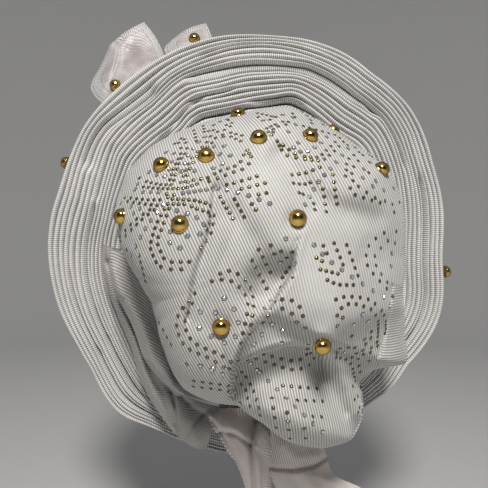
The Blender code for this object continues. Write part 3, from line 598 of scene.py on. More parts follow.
# Gold domes: half of the outline, from the flange up, as radius and height
DOME_SIDES = 32
DOME_RADIUS = 5.98
DOME_COLLAR = 1.2
DOME_RISE = 4.75
DOME_PROFILE = [(6.6, 0.0), (6.6, 0.22), (6.45, 0.42), (6.05, 0.62), (DOME_RADIUS, DOME_COLLAR)]
DOME_PROFILE += [(DOME_RADIUS * math.cos(math.radians(angle)),
                  DOME_COLLAR + DOME_RISE * math.sin(math.radians(angle)))
                 for angle in range(12, 90, 11)]

# Seats of the domes in the crown's cloth
DOME_SINK = 0.3
DOME_SEAT_REACH = 25.0
DOME_SEAT_PX = 14.0
DOME_FOOT_PX = 11.5
DOME_FOOT_DEEPEST = 9.0


# Photograph and camera

def to_photo(points):
    """Pixels at which the camera sees points."""
    depth = points[..., 1] - CAMERA_PLACE[1]
    x = PHOTO_MIDDLE_PX + (points[..., 0] - CAMERA_PLACE[0]) * FOCAL_PX / depth
    y = PHOTO_MIDDLE_PX - (points[..., 2] - CAMERA_PLACE[2]) * FOCAL_PX / depth
    return np.stack([x, y], axis=-1)


def from_photo(x_px, y_px, y):
    """Point that the camera sees at a pixel, at a given depth."""
    scale = (y - CAMERA_PLACE[1]) / FOCAL_PX
    return np.array([CAMERA_PLACE[0] + (x_px - PHOTO_MIDDLE_PX) * scale, y,
                     CAMERA_PLACE[2] + (PHOTO_MIDDLE_PX - y_px) * scale])


def sight_at(x_px, y_px):
    """Direction in which the camera looks at a pixel."""
    return (Vector(from_photo(x_px, y_px, 0.0)) - EYE).normalized()


def push_back(points, relief):
    """Moves points in place along the camera's line of sight, to lie deeper by the relief."""
    sight = points - np.array(CAMERA_PLACE)
    points += sight / sight[..., 1:2] * relief[..., None]


def make_camera():
    camera = bpy.data.cameras.new("camera")
    camera.sensor_width = SENSOR_WIDTH
    camera.lens = SENSOR_WIDTH * FOCAL_PX / PHOTO_SIDE_PX
    camera.clip_start = 0.01
    holder = bpy.data.objects.new("camera", camera)
    holder.location = EYE * METRES_PER_MM
    holder.rotation_euler = (math.radians(90.0), 0.0, 0.0)
    bpy.context.scene.collection.objects.link(holder)
    bpy.context.scene.camera = holder


# Curves and grids

def unit(vectors):
    return vectors / np.maximum(np.linalg.norm(vectors, axis=-1, keepdims=True), 1e-9)


def eased(share):
    return share * share * (3 - 2 * share)


def ring_direction(angles):
    turn = np.radians(angles)
    return np.sin(turn), np.cos(turn)


def ring_values(rows, column, angles, smooth=RING_SMOOTH):
    """A column of rows read at angles round the ring, eased over a few degrees."""
    known = np.array([row.angle for row in rows], dtype=float) % 360.0
    values = np.array([getattr(row, column) for row in rows], dtype=float)
    order = np.argsort(known)
    offsets = np.linspace(-2.0, 2.0, 9) * smooth
    weights = np.exp(-0.5 * (offsets / smooth) ** 2)
    total = sum(weight * np.interp((angles + offset) % 360.0, known[order], values[order],
                                   period=360.0)
                for offset, weight in zip(offsets, weights))
    return total / weights.sum()


def hermite_rows(rows, shares):
    """Rows of points, and their Catmull-Rom blend at shares of the way through them."""
    rows = np.asarray(rows, dtype=float)
    last = len(rows) - 1
    place = np.clip(shares, 0.0, 1.0) * last
    here = np.minimum(place.astype(int), last - 1)
    t = (place - here).reshape((-1,) + (1,) * (rows.ndim - 1))
    padded = np.concatenate([2 * rows[:1] - rows[1:2], rows, 2 * rows[-1:] - rows[-2:-1]])
    a, b, c, d = (padded[here + step] for step in range(4))
    return 0.5 * (2 * b + (c - a) * t + (2 * a - 5 * b + 4 * c - d) * t**2
                  + (3 * b - a - 3 * c + d) * t**3)


def reach_to_ellipse(angles, start_z, ellipse):
    half_width, half_height, centre_z = ellipse
    across, up = ring_direction(angles)
    drop = start_z - centre_z
    a = (across / half_width) ** 2 + (up / half_height) ** 2
    b = 2 * drop * up / half_height**2
    c = (drop / half_height) ** 2 - 1
    return (-b + np.sqrt(b * b - 4 * a * c)) / (2 * a)


def distance_to_line(places, line):
    """Distance from places to a line of runs, and how far each place lies beyond its ends.

    The distance is less than zero on the left of a line that runs down the photograph, and
    below a line that runs to its right. Beyond the ends it is taken to the line drawn on.
    """
    nearest = np.full(places.shape[:-1], 1e9)
    beyond = np.zeros(places.shape[:-1])
    last = len(line) - 2
    for number, (start, end) in enumerate(zip(line[:-1], line[1:])):
        start = np.array(start, dtype=float)
        run = np.array(end, dtype=float) - start
        length = np.linalg.norm(run)
        along = ((places - start) @ run) / length
        held = np.clip(along, -FAR_PX if number == 0 else 0.0,
                       length + (FAR_PX if number == last else 0.0))
        away = places - start - held[..., None] * run / length
        side = run[1] * away[..., 0] - run[0] * away[..., 1]
        distance = np.linalg.norm(away, axis=-1) * np.where(side < 0, -1.0, 1.0)
        nearest = np.where(np.abs(distance) < np.abs(nearest), distance, nearest)
        if number == 0:
            beyond = np.maximum(beyond, -along)
        if number == last:
            beyond = np.maximum(beyond, along - length)
    return nearest, beyond


def fold_relief(places, folds, mounds=()):
    """How much deeper the folds set a cloth's back, at places in the photograph."""
    relief = np.zeros(places.shape[:-1])
    for fold in folds:
        distance, beyond = distance_to_line(places, fold.run_px)
        lower = (1 - np.tanh(distance / fold.ease)) / 2
        step = fold.drop * lower * np.exp(-np.abs(distance / fold.reach) ** 3)
        step -= fold.lip * (1 - lower) * np.exp(-(distance / fold.lip_width) ** 2)
        relief += fold.depth * np.exp(-(distance**2 + beyond**2) / fold.width**2)
        relief += step * np.exp(-(beyond / FOLD_END_FADE_PX) ** 2)
    for mound in mounds:
        away = np.hypot((places[..., 0] - mound.x_px) / mound.half_width,
                        (places[..., 1] - mound.y_px) / mound.half_height)
        relief -= mound.height * np.exp(-away**2)
    return relief


def lengths_along(grid, axis):
    """Distance run along an axis of a grid of points, from its start."""
    steps = np.linalg.norm(np.diff(grid, axis=axis), axis=-1)
    pad = np.zeros_like(np.take(steps, [0], axis=axis))
    return np.concatenate([pad, np.cumsum(steps, axis=axis)], axis=axis)


def ring_stack(centre, axis, outline, sides, turn=0.0):
    """Points of rings about an axis, from an outline of radii and heights."""
    side = axis.orthogonal().normalized()
    other = axis.cross(side)
    points = []
    for radius, height in outline:
        for corner in range(sides):
            angle = turn + TURN * corner / sides
            around = side * math.cos(angle) + other * math.sin(angle)
            points.append(centre + around * radius + axis * height)
    return points


def ring_faces(first, rings, sides):
    """Faces between rings of points that begin at the first."""
    faces = []
    for lower in range(first, first + (rings - 1) * sides, sides):
        upper = lower + sides
        for corner in range(sides):
            beside = (corner + 1) % sides
            faces.append([lower + corner, lower + beside, upper + beside, upper + corner])
    return faces


# Meshes

def add_cloth_layer(mesh, name, uv, by_corner=False):
    uv = np.asarray(uv, dtype=np.float32)
    if not by_corner:
        loops = np.empty(len(mesh.loops), dtype=np.int32)
        mesh.loops.foreach_get("vertex_index", loops)
        uv = uv[loops]
    mesh.uv_layers.new(name=name).data.foreach_set("uv", uv.ravel())


def add_mesh(name, points, faces, material, uv=None, by_corner=False):
    """Object from points in millimetres, with cloth coordinates by point or by face corner."""
    mesh = bpy.data.meshes.new(name)
    mesh.from_pydata((np.asarray(points) * METRES_PER_MM).tolist(), [], faces)
    mesh.materials.append(material)
    mesh.shade_smooth()
    if uv is not None:
        add_cloth_layer(mesh, "cloth", uv, by_corner)
    piece = bpy.data.objects.new(name, mesh)
    bpy.context.scene.collection.objects.link(piece)
    return piece


def grid_quads(rows, columns, close_rows=False):
    row = np.arange(rows if close_rows else rows - 1)[:, None]
    column = np.arange(columns - 1)[None, :]
    below = (row + 1) % rows
    corners = [row * columns + column, row * columns + column + 1,
               below * columns + column + 1, below * columns + column]
    return np.stack(np.broadcast_arrays(*corners), axis=-1).reshape(-1, 4).tolist()


def add_grid(name, grid, uv, material):
    rows, columns = grid.shape[:2]
    return add_mesh(name, grid.reshape(-1, 3), grid_quads(rows, columns), material,
                    uv.reshape(-1, 2))


def finish_piece(piece, slot_name, *nodes):
    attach(piece, "root")
    if nodes:
        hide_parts(*nodes)
    return piece


# Materials

def rgb(red, green, blue):
    return (red, green, blue, 1.0)


class Shader:
    """Node tree of one material, built from short calls."""

    def __init__(self, name):
        self.material = bpy.data.materials.new(name)
        self.material.use_nodes = True
        self.tree = self.material.node_tree
        self.surface = self.tree.nodes["Principled BSDF"]
        self.place = self.node("ShaderNodeTexCoord").outputs["Object"]

    def node(self, kind, inputs=(), **settings):
        made = self.tree.nodes.new(kind)
        for setting, value in settings.items():
            setattr(made, setting, value)
        for key, value in dict(inputs).items():
            self.feed(made.inputs[key], value)
        return made

    def feed(self, socket, value):
        if isinstance(value, bpy.types.NodeSocket):
            self.tree.links.new(value, socket)
        else:
            socket.default_value = value

    def split(self, vector):
        return self.node("ShaderNodeSeparateXYZ", {"Vector": vector}).outputs

    def layer(self, name):
        """The two numbers of a layer of cloth coordinates."""
        return self.split(self.node("ShaderNodeUVMap", uv_map=name).outputs["UV"])[:2]

    def maths(self, operation, first, second=0.0, third=0.0):
        made = self.node("ShaderNodeMath", {0: first, 1: second, 2: third}, operation=operation)
        return made.outputs[0]

    def times(self, first, second):
        return self.maths("MULTIPLY", first, second)

    def between(self, share, first, second):
        return self.maths("MULTIPLY_ADD", share, self.maths("SUBTRACT", second, first), first)

    def wave(self, count, rate=TURN):
        return self.maths("SINE", self.times(count, rate))

    def ribs(self, count, rate=TURN, span=RIB_SPAN):
        """Ribs of the cloth, from 0 in their grooves to 1 on their crests."""
        return self.ramp(self.wave(count, rate), *span)

    def noise(self, scale, detail=2.0, roughness=0.5):
        made = self.node("ShaderNodeTexNoise", {"Vector": self.place, "Scale": scale,
                                                "Detail": detail, "Roughness": roughness})
        return made.outputs["Fac"]

    def mix(self, share, first, second):
        made = self.node("ShaderNodeMix", {0: share, 6: first, 7: second}, data_type="RGBA")
        return made.outputs[2]

    def ramp(self, value, low, high, first=0.0, second=1.0):
        made = self.node("ShaderNodeMapRange", {0: value, 1: low, 2: high, 3: first, 4: second},
                         interpolation_type="SMOOTHSTEP")
        return made.outputs[0]

    def bump(self, height, distance):
        inputs = {"Height": height, "Distance": distance, "Strength": 1.0}
        return self.node("ShaderNodeBump", inputs).outputs["Normal"]

    def finish(self, **values):
        for name, value in values.items():
            self.feed(self.surface.inputs[name.replace("_", " ")], value)
        return self.material


def ribbed_cloth(name, pale, deep, rib_depth=RIB_DEPTH, with_sides=False):
    """Ribbed gele cloth: raised ribs a step of cloth u apart, with a fine weave along them. The
    grooves between the ribs are painted in the deep colour, as the shade that falls in them.

    With sides, they give way to ribs a step of side u apart as side v goes from 0 to 1, and
    weaken as calm u does, which also fades their painted groove shade.
    """
    shader = Shader(name)
    count, along = shader.layer("cloth")
    wander = shader.noise(WANDER_SCALE)
    rib = shader.ribs(shader.maths("MULTIPLY_ADD", wander, WANDER_SHARE, count))
    if with_sides:
        side_count, side_share = shader.layer("side")
        side_rib = shader.ribs(shader.maths("MULTIPLY_ADD", wander, WANDER_SHARE, side_count))
        rib = shader.between(side_share, rib, side_rib)
        rib = shader.between(shader.layer("calm")[0], rib, CALM_RIB)
    thread = shader.wave(along, TURN / WEAVE_PITCH)
    blotch = shader.noise(22.0, 4.0, 0.6)
    tint = shader.ramp(blotch, 0.3, 0.7, 0.93, 1.05)
    # Deep grooves and pale crests: the grooves' darker colour is painted shade.
    tinted = shader.node("ShaderNodeVectorMath", {0: shader.mix(rib, deep, pale), 1: tint},
                         operation="MULTIPLY")
    height = shader.maths("MULTIPLY_ADD", thread, WEAVE_SHARE, rib)
    height = shader.maths("MULTIPLY_ADD", shader.noise(GRAIN_SCALE), GRAIN_SHARE, height)
    return shader.finish(Base_Color=tinted.outputs[0], Normal=shader.bump(height, rib_depth),
                         Roughness=shader.ramp(rib, 0.0, 1.0, 0.74, 0.62), Sheen_Weight=0.25,
                         Sheen_Roughness=0.4, Specular_IOR_Level=0.42)


def satin_cloth(name, pale, deep):
    """Smooth face of the cloth, with a ribbed hem all round that two rows of stitches hold."""
    shader = Shader(name)
    inward, run = shader.layer("hem")
    blotch = shader.noise(45.0, 4.0, 0.6)
    border = shader.ramp(inward, HEM_WIDTH - HEM_EASE, HEM_WIDTH + HEM_EASE, 1.0, 0.0)
    rows = []
    for inset in STITCH_INSETS:
        away = shader.maths("ABSOLUTE", shader.maths("SUBTRACT", inward, inset))
        rows.append(shader.ramp(away, 0.2, 0.5, 1.0, 0.0))
    dash = shader.ramp(shader.wave(run, TURN / STITCH_PITCH), -0.6, 0.0)
    stitch = shader.times(shader.maths("MAXIMUM", *rows), dash)
    field_ribs = shader.times(shader.ribs(shader.layer("cloth")[0], span=BOW_RIB_SPAN),
                              shader.ramp(blotch, 0.35, 0.65, 0.2, 0.75))
    hem_ribs = shader.ribs(run, TURN / RIB_PITCH, BOW_RIB_SPAN)
    ribs = shader.maths("MAXIMUM", shader.times(hem_ribs, border), field_ribs)
    colour = shader.mix(shader.ramp(blotch, 0.3, 0.7), deep, pale)
    for share, laid in [(border, HEM_COLOUR), (shader.times(ribs, 0.8), BOW_RIB_COLOUR),
                        (shader.times(stitch, 0.7), STITCH_COLOUR)]:
        colour = shader.mix(share, colour, rgb(*laid))
    fibre = shader.times(shader.noise(900.0, 3.0), 0.3)
    height = shader.maths("SUBTRACT", shader.maths("MULTIPLY_ADD", ribs, 0.9, fibre), stitch)
    return shader.finish(Base_Color=colour, Normal=shader.bump(height, BOW_RIB_DEPTH),
                         Roughness=shader.ramp(blotch, 0.3, 0.7, 0.38, 0.5), Sheen_Weight=0.2,
                         Sheen_Roughness=0.3, Specular_IOR_Level=0.55)


def band_cloth(name, pale, deep):
    """Plain ribbed cloth of the head band, ribbed across its width, with painted shade in the deep
    colour of its grooves.
    """
    shader = Shader(name)
    parts = shader.split(shader.place)
    angle = shader.maths("ARCTAN2", parts["X"], parts["Z"])
    rib = shader.ribs(angle, BAND_RIBS_PER_TURN)
    height = shader.maths("MULTIPLY_ADD", shader.noise(GRAIN_SCALE), GRAIN_SHARE, rib)
    return shader.finish(Base_Color=shader.mix(rib, deep, pale), Roughness=0.72,
                         Normal=shader.bump(height, BAND_RIB_DEPTH), Sheen_Weight=0.2)


def gold_metal(name, colour, roughness):
    """Polished metal that is a little worn, with a painted dark reflection where it turns away from
    the viewer.
    """
    shader = Shader(name)
    wear = shader.noise(260.0, 4.0, 0.6)
    duller, painted_dark_rim = (rgb(*[part * share for part in colour]) for share in (0.82, 0.16))
    worn = shader.mix(shader.ramp(wear, 0.35, 0.7), duller, rgb(*colour))
    rim = shader.node("ShaderNodeLayerWeight", {"Blend": 0.35}).outputs["Facing"]
    # Painted dark reflection: the colour darkens towards the rim, where the surface turns away from
    # the viewer.
    return shader.finish(Base_Color=shader.mix(shader.ramp(rim, 0.2, 0.62), worn, painted_dark_rim),
                         Roughness=shader.ramp(wear, 0.3, 0.7, roughness, roughness + 0.14),
                         Normal=shader.bump(shader.noise(700.0), 0.00004), Metallic=1.0)


def painted_stone_shadow():
    """Dark ring of painted shadow and dark reflection round the foot of a stone."""
    shader = Shader("painted_stone_shadow")
    tint = shader.mix(shader.noise(300.0), rgb(0.03, 0.026, 0.016), rgb(0.09, 0.075, 0.045))
    return shader.finish(Base_Color=tint, Roughness=0.45,
                         Normal=shader.bump(shader.noise(1500.0, 1.0), 0.00003))


def silver_glass():
    """Foil-backed clear stones, with a faint change of tint from one to the next."""
    shader = Shader("silver_glass")
    tint = shader.mix(shader.noise(120.0, 1.0), rgb(0.55, 0.58, 0.62), rgb(0.90, 0.92, 0.95))
    return shader.finish(Base_Color=tint, Metallic=0.8, Roughness=0.12, Coat_Weight=0.6,
                         Normal=shader.bump(shader.noise(900.0, 1.0), 0.00003))


def studio_paint():
    """Pale floor and wall, with a greyer stretch of wall where the gold needs something to show."""
    shader = Shader("floor")
    parts = shader.split(shader.place)
    grey = shader.times(shader.ramp(parts["Y"], -0.7, -1.7), shader.ramp(parts["Z"], -0.25, 0.05))
    colour = shader.mix(grey, rgb(0.62, 0.62, 0.61), rgb(0.13, 0.13, 0.13))
    return shader.finish(Base_Color=colour, Roughness=0.9)


# Fan

def fan_radii(angles, turns):
    """Radius about the fan's centre at angles, where turns counts pleats in from the rim."""
    columns = [ring_values(FAN_ROWS, column, angles) * FAN_PX_TO_MM
               for column in ("rim", "a", "b", "c", "d")]
    columns.append(columns[-1] - INNER_STEP_PX * FAN_PX_TO_MM)
    columns.append(reach_to_ellipse(angles, FAN_CENTRE_Z, FAN_SEAM))
    knots = np.array(columns).T
    return np.array([np.interp(turns, FAN_KNOT_TURNS, row) for row in knots])


def crease_sink(angles, turns):
    """How much deeper the chosen creases lie, at each angle and turn."""
    sink = np.zeros((len(angles), len(turns)))
    signed = (angles + 180.0) % 360.0 - 180.0
    for crease in FAN_CREASES:
        share = np.clip((signed - crease.start) / (crease.end - crease.start), 0.0, 1.0)
        inside = np.clip((signed - crease.start) / CREASE_FADE + 1, 0.0, 1.0)
        inside = inside * np.clip((crease.end - signed) / CREASE_FADE + 1, 0.0, 1.0)
        turn = crease.start_turn + (crease.end_turn - crease.start_turn) * share
        away = (turns[None, :] - turn[:, None]) / crease.spread
        sink += crease.sink * eased(inside)[:, None] * np.exp(-away**2)
    return sink


def make_fan(material):
    """Ring of pleats, from the rim in to the seam, with ribs that run in across them."""
    angles = np.linspace(180.0, 540.0, FAN_ANGLES)
    half = [point.share for point in PLEAT_PROFILE]
    pleat_shares = half + [1 - share for share in half[-2:0:-1]]
    turns = np.concatenate([[pleat + share for share in pleat_shares]
                            for pleat in range(PLEATS)] + [[float(PLEATS)]])
    radii = fan_radii(angles, turns)
    rim_y = ring_values(FAN_DEPTH_ROWS, "forward", angles, DEPTH_SMOOTH)[:, None]
    depth = ring_values(FAN_DEPTH_ROWS, "fold_depth", angles, DEPTH_SMOOTH)[:, None]
    inward = eased(turns / PLEATS)[None, :]
    middle = rim_y + (SEAM_FORWARD - rim_y) * inward + crease_sink(angles, turns)
    from_valley = np.abs(turns - np.round(turns))
    rise = np.interp(from_valley, half, [point.rise for point in PLEAT_PROFILE])[None, :]
    wave = np.radians(angles)[:, None]
    pleat = np.floor(turns)[None, :]
    uneven = sum(height * np.sin(waves * wave + shift * pleat)
                 for height, waves, shift in PLEAT_RIPPLES)
    y = middle + depth * (0.5 - rise) + uneven * rise
    across, up = ring_direction(angles)
    grid = np.stack([radii * across[:, None], y, FAN_CENTRE_Z + radii * up[:, None]], axis=-1)

    phase = np.zeros_like(radii)
    for number in range(PLEATS):
        crest = fan_radii(angles, np.array([number + 0.5]))[:, 0]
        steps = np.hypot(np.gradient(crest), crest * np.radians(360.0 / (FAN_ANGLES - 1)))
        run = np.cumsum(steps)
        ribs = round(run[-1] / RIB_PITCH)
        lean = np.gradient(crest) / steps
        here = np.floor(turns) == number
        shear = (radii[:, here] - crest[:, None]) * lean[:, None] / RIB_PITCH
        phase[:, here] = (run / run[-1] * ribs)[:, None] + shear
    phase[:, -1] = phase[:, -2]
    uv = np.stack([phase, lengths_along(grid, 1)], axis=-1)
    piece = add_grid("pleated_fan", grid, uv, material)
    finish_piece(piece, "pleated_cloth", "fan")


# Domes

def placed_domes():
    """Name, base point and axis of each dome, from the points of its solid."""
    domes = []
    for name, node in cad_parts.items():
        if name.startswith("dome_"):
            points = np.array([list(corner.co) for corner in node.data.vertices])
            points = points / METRES_PER_MM
            middle = points.mean(axis=0)
            spread = (points - middle).T @ (points - middle)
            axis = np.linalg.eigh(spread)[1][:, 0]
            along = (points - middle) @ axis
            if along.max() < -along.min():
                axis, along = -axis, -along
            domes.append((name, middle + axis * along.min(), axis))
    return domes


def make_domes(material):
    """Smooth round domes, each in the place of its faceted solid."""
    for name, base, axis in placed_domes():
        base, axis = Vector(base), Vector(axis)
        points = ring_stack(base, axis, DOME_PROFILE, DOME_SIDES)
        top = len(points)
        points.append(base + axis * (DOME_COLLAR + DOME_RISE))
        faces = ring_faces(0, len(DOME_PROFILE), DOME_SIDES)
        last = top - DOME_SIDES
        for corner in range(DOME_SIDES):
            faces.append([last + corner, last + (corner + 1) % DOME_SIDES, top])
        faces.append(list(range(DOME_SIDES))[::-1])
        piece = add_mesh(f"gold_{name}", [list(point) for point in points], faces, material)
        finish_piece(piece, "gold", name)


def seat_under_domes(back, fade):
    """Eases the crown's back so that it meets the foot of each dome that stands on it."""
    rows, columns = back.shape[:2]
    tree = BVHTree.FromPolygons([Vector(point) for point in back.reshape(-1, 3)],
                                grid_quads(rows, columns, close_rows=True))
    places = []
    misses = []
    seats = []
    for _, base, axis in placed_domes():
        hit = tree.ray_cast(EYE, (Vector(base) - EYE).normalized())[0]
        if hit is not None and abs(hit.y - base[1]) < DOME_SEAT_REACH:
            places.append(to_photo(base))
            misses.append(base[1] + DOME_SINK - hit.y)
            seats.append((base, axis))
    places = np.array(places)
    apart = np.linalg.norm(places[:, None] - places[None], axis=-1)
    weights = np.linalg.solve(np.exp(-(apart / DOME_SEAT_PX) ** 2), np.array(misses))
    away = np.linalg.norm(to_photo(back)[:, :, None] - places, axis=-1)
    push_back(back, (np.exp(-(away / DOME_SEAT_PX) ** 2) @ weights) * fade)
    for number, (base, axis) in enumerate(seats):
        sight = back - CAMERA_PLACE
        scale = ((base - CAMERA_PLACE) @ axis - DOME_SINK) / (sight @ axis)
        deeper = np.clip((scale - 1) * sight[..., 1], 0.0, DOME_FOOT_DEEPEST)
        push_back(back, deeper * np.exp(-(away[..., number] / DOME_FOOT_PX) ** 6) * fade)


# Crown

def crown_rim(angles):
    """The crown's reach at its seam and at its edge, and the depth of its edge."""
    return (reach_to_ellipse(angles, CROWN_CENTRE_Z, CROWN_SEAM),
            ring_values(CROWN_ROWS, "edge", angles, EDGE_SMOOTH),
            ring_values(CROWN_ROWS, "edge_y", angles, EDGE_Y_SMOOTH))


def crown_grid():
    """Points of the crown, and the share of side ribs at each step.

    The points are columns round it, each from its seam to the ring by its pole.
    """
    angles = np.arange(CROWN_COLUMNS) * 360.0 / CROWN_COLUMNS
    across, up = ring_direction(angles)
    seam, edge, edge_y = crown_rim(angles)
    share = np.linspace(0.0, 1.0, CROWN_UNDER_STEPS, endpoint=False)
    known = [row.share for row in UNDER_ROWS]
    outward = np.interp(share, known, [row.outward for row in UNDER_ROWS])
    backward = np.interp(share, known, [row.backward for row in UNDER_ROWS])
    radius = seam[:, None] + (edge - seam)[:, None] * outward
    under_y = CROWN_SEAM_Y + (edge_y - CROWN_SEAM_Y)[:, None] * backward
    under = np.stack([radius * across[:, None], under_y,
                      CROWN_CENTRE_Z + radius * up[:, None]], axis=-1)

    turn = np.linspace(0.0, 1.0, CROWN_BACK_RINGS, endpoint=False)
    rings = (1 - turn ** CROWN_RING_POWERS[0]) ** CROWN_RING_POWERS[1]
    pole = np.array(CROWN_POLE)
    rim = np.stack([edge * across, edge_y, CROWN_CENTRE_Z + edge * up], axis=-1)
    back = pole + (rim[:, None, :] - pole) * rings[None, :, None]
    bulge = np.sqrt(1 - rings**CROWN_ROUNDNESS)
    back[..., 1] = edge_y[:, None] + (pole[1] - edge_y)[:, None] * bulge
    fade = np.clip((1 - rings) / (1 - EDGE_SHARE_OF_RELIEF), 0.0, 1.0)
    places = to_photo(back)
    away, beyond = distance_to_line(places, OVERLAP_PX)
    right = (1 + np.tanh(away / (OVERLAP_EASE_PX + beyond))) / 2
    relief = fold_relief(places, LEFT_FOLDS, LEFT_MOUNDS) * (1 - right)
    relief += fold_relief(places, RIGHT_FOLDS, RIGHT_MOUNDS) * right
    push_back(back, relief * fade)
    seat_under_domes(back, fade)
    side = np.clip((rings - SIDE_RIB_START) / (SIDE_RIB_FULL - SIDE_RIB_START), 0.0, 1.0)
    return np.concatenate([under, back], axis=1), np.append(np.ones(CROWN_UNDER_STEPS), side)


def crown_phases(points):
    """Counts of ribs at each point of the crown, for its left, right, lobe and right edge."""
    x = points[..., 0]
    z = points[..., 2] - CROWN_CENTRE_Z
    slope = math.radians(RIB_SLOPE)
    left = math.sin(slope) * x + math.cos(slope) * z + RIB_BEND * np.maximum(x, 0.0) * z
    pivot = from_photo(*OVERLAP_PIVOT_PX, OVERLAP_PIVOT_Y)
    at_pivot = math.sin(slope) * pivot[0] + math.cos(slope) * (pivot[2] - CROWN_CENTRE_Z)
    below = to_photo(points)[..., 1] - OVERLAP_PIVOT_PX[1] + RIB_TURN_ABOVE_PX
    below = np.clip(below / RIB_TURN_RUN_PX, 0.0, 1.0)
    phases = [left]
    for turn in (OVERLAP_RIB_TURN, LOBE_RIB_TURN):
        turned = slope + math.radians(turn)
        swung = (at_pivot + math.sin(turned) * (x - pivot[0])
                 + math.cos(turned) * (points[..., 2] - pivot[2]))
        phases.append(left + (swung - left) * below)
    level = math.radians(STRIP_RIB_SLOPE)
    phases.append(math.sin(level) * x + math.cos(level) * z)
    return np.array(phases) / RIB_PITCH


def crown_regions(middles):
    """Which count of ribs each face takes, from its middle in the photograph."""
    right = distance_to_line(middles, OVERLAP_PX)[0] > 0
    lobe = right & (distance_to_line(middles, LOBE_TOP_PX)[0] < 0)
    strip = distance_to_line(middles, STRIP_LINE_PX)[0] > 0
    strip &= (middles[:, 0] > STRIP_LINE_PX[-1][0]) & (middles[:, 1] > STRIP_LINE_PX[0][1])
    return np.select([strip, lobe, right], [3, 2, 1], 0)


def make_crown(material, edge_material):
    """Crown with its folded edges. Returns the tree that finds places on its cloth."""
    grid, side_share = crown_grid()
    columns = grid.shape[1]
    pole = grid[:, -1].mean(axis=0)
    points = np.concatenate([grid.reshape(-1, 3), [pole]])
    faces = grid_quads(CROWN_COLUMNS, columns, close_rows=True)
    for column in range(CROWN_COLUMNS):
        here = column * columns + columns - 1
        following = (column + 1) % CROWN_COLUMNS * columns + columns - 1
        faces.append([here, len(points) - 1, following])

    places = to_photo(points)
    sizes = np.array([len(face) for face in faces])
    corners = np.concatenate([np.array(face) for face in faces])
    starts = np.concatenate([[0], np.cumsum(sizes)[:-1]])
    middles = np.add.reduceat(places[corners], starts) / sizes[:, None]
    region = np.repeat(crown_regions(middles), sizes)
    along = np.append(lengths_along(grid, 1).ravel(), 0.0)
    cloth = np.stack([crown_phases(points)[region, corners], along[corners]], axis=-1)
    piece = add_mesh("studded_crown", points, faces, material, cloth, by_corner=True)

    turn = np.repeat(np.arange(CROWN_COLUMNS) / CROWN_COLUMNS, columns)
    turn = np.append(turn, 0.0)[corners]
    closing = np.repeat(turn[starts] > 0.5, sizes) & (turn == 0.0)
    share = np.append(np.tile(side_share, CROWN_COLUMNS), 0.0)[corners]
    side = np.stack([(turn + closing) * SIDE_RIBS, share], axis=-1)
    # Calm share: where the ribs' painted groove shade fades, as under full light.
    calm = -fold_relief(places, [], CALM_SPOTS)[corners]
    add_cloth_layer(piece.data, "calm", np.stack([calm, calm], axis=-1), by_corner=True)
    add_cloth_layer(piece.data, "side", side, by_corner=True)
    finish_piece(piece, "crown_cloth", "crown")
    tree = BVHTree.FromPolygons([Vector(point) for point in points], faces)
    edges = [make_folded_edge(edge, tree, edge_material) for edge in FOLDED_EDGES]
    return tree


def make_folded_edge(edge, tree, material):
    """Rolled edge of a layer of cloth, laid on the crown along its line in the photograph."""
    share = np.linspace(0.0, 1.0, EDGE_STEPS)
    line = hermite_rows(edge.run_px, share)
    depths = [tree.ray_cast(EYE, sight_at(*place))[0].y for place in line]
    steps = np.arange(EDGE_STEPS)
    weights = np.exp(-((steps[:, None] - steps) / EDGE_EASE_STEPS) ** 2)
    depths = weights @ np.array(depths) / weights.sum(axis=1)
    path = np.array([from_photo(x, y, depth) for (x, y), depth in zip(line, depths)])
    run = np.gradient(path, axis=0)
    sight = path - np.array(CAMERA_PLACE)
    side = unit(np.cross(run, sight))
    out = unit(np.cross(side, run))
    out *= np.where((out * sight).sum(axis=-1, keepdims=True) > 0, -1.0, 1.0)
    taper = np.clip(np.minimum(share, 1 - share) / EDGE_TAPER, EDGE_THINNEST, 1.0)
    radius = edge.radius * taper[:, None, None]
    around = np.linspace(0.0, TURN, EDGE_SIDES + 1)[None, :, None]
    grid = path[:, None] + side[:, None] * (np.cos(around) + edge.lean) * radius
    grid = grid + out[:, None] * np.sin(around) * radius * EDGE_FLATNESS
    along = lengths_along(path[None], 1)[0][:, None]
    # Colour along the rib, from pale crest to painted groove shade; dark on the overlap's edge as
    # painted shadow.
    rib = np.full((1, EDGE_SIDES + 1), edge.rib_place)
    uv = np.stack(np.broadcast_arrays(rib, along), axis=-1)
    return finish_piece(add_grid(edge.name, grid, uv, material), "crown_cloth")


# Stones

def even_places(count, line):
    """Evenly spaced places on a smooth curve through the corners of a line."""
    curve = hermite_rows(line, np.linspace(0.0, 1.0, LINE_STEPS))
    run = lengths_along(curve, 0)
    wanted = np.linspace(0.0, run[-1], count)
    return [(np.interp(place, run, curve[:, 0]), np.interp(place, run, curve[:, 1]))
            for place in wanted]


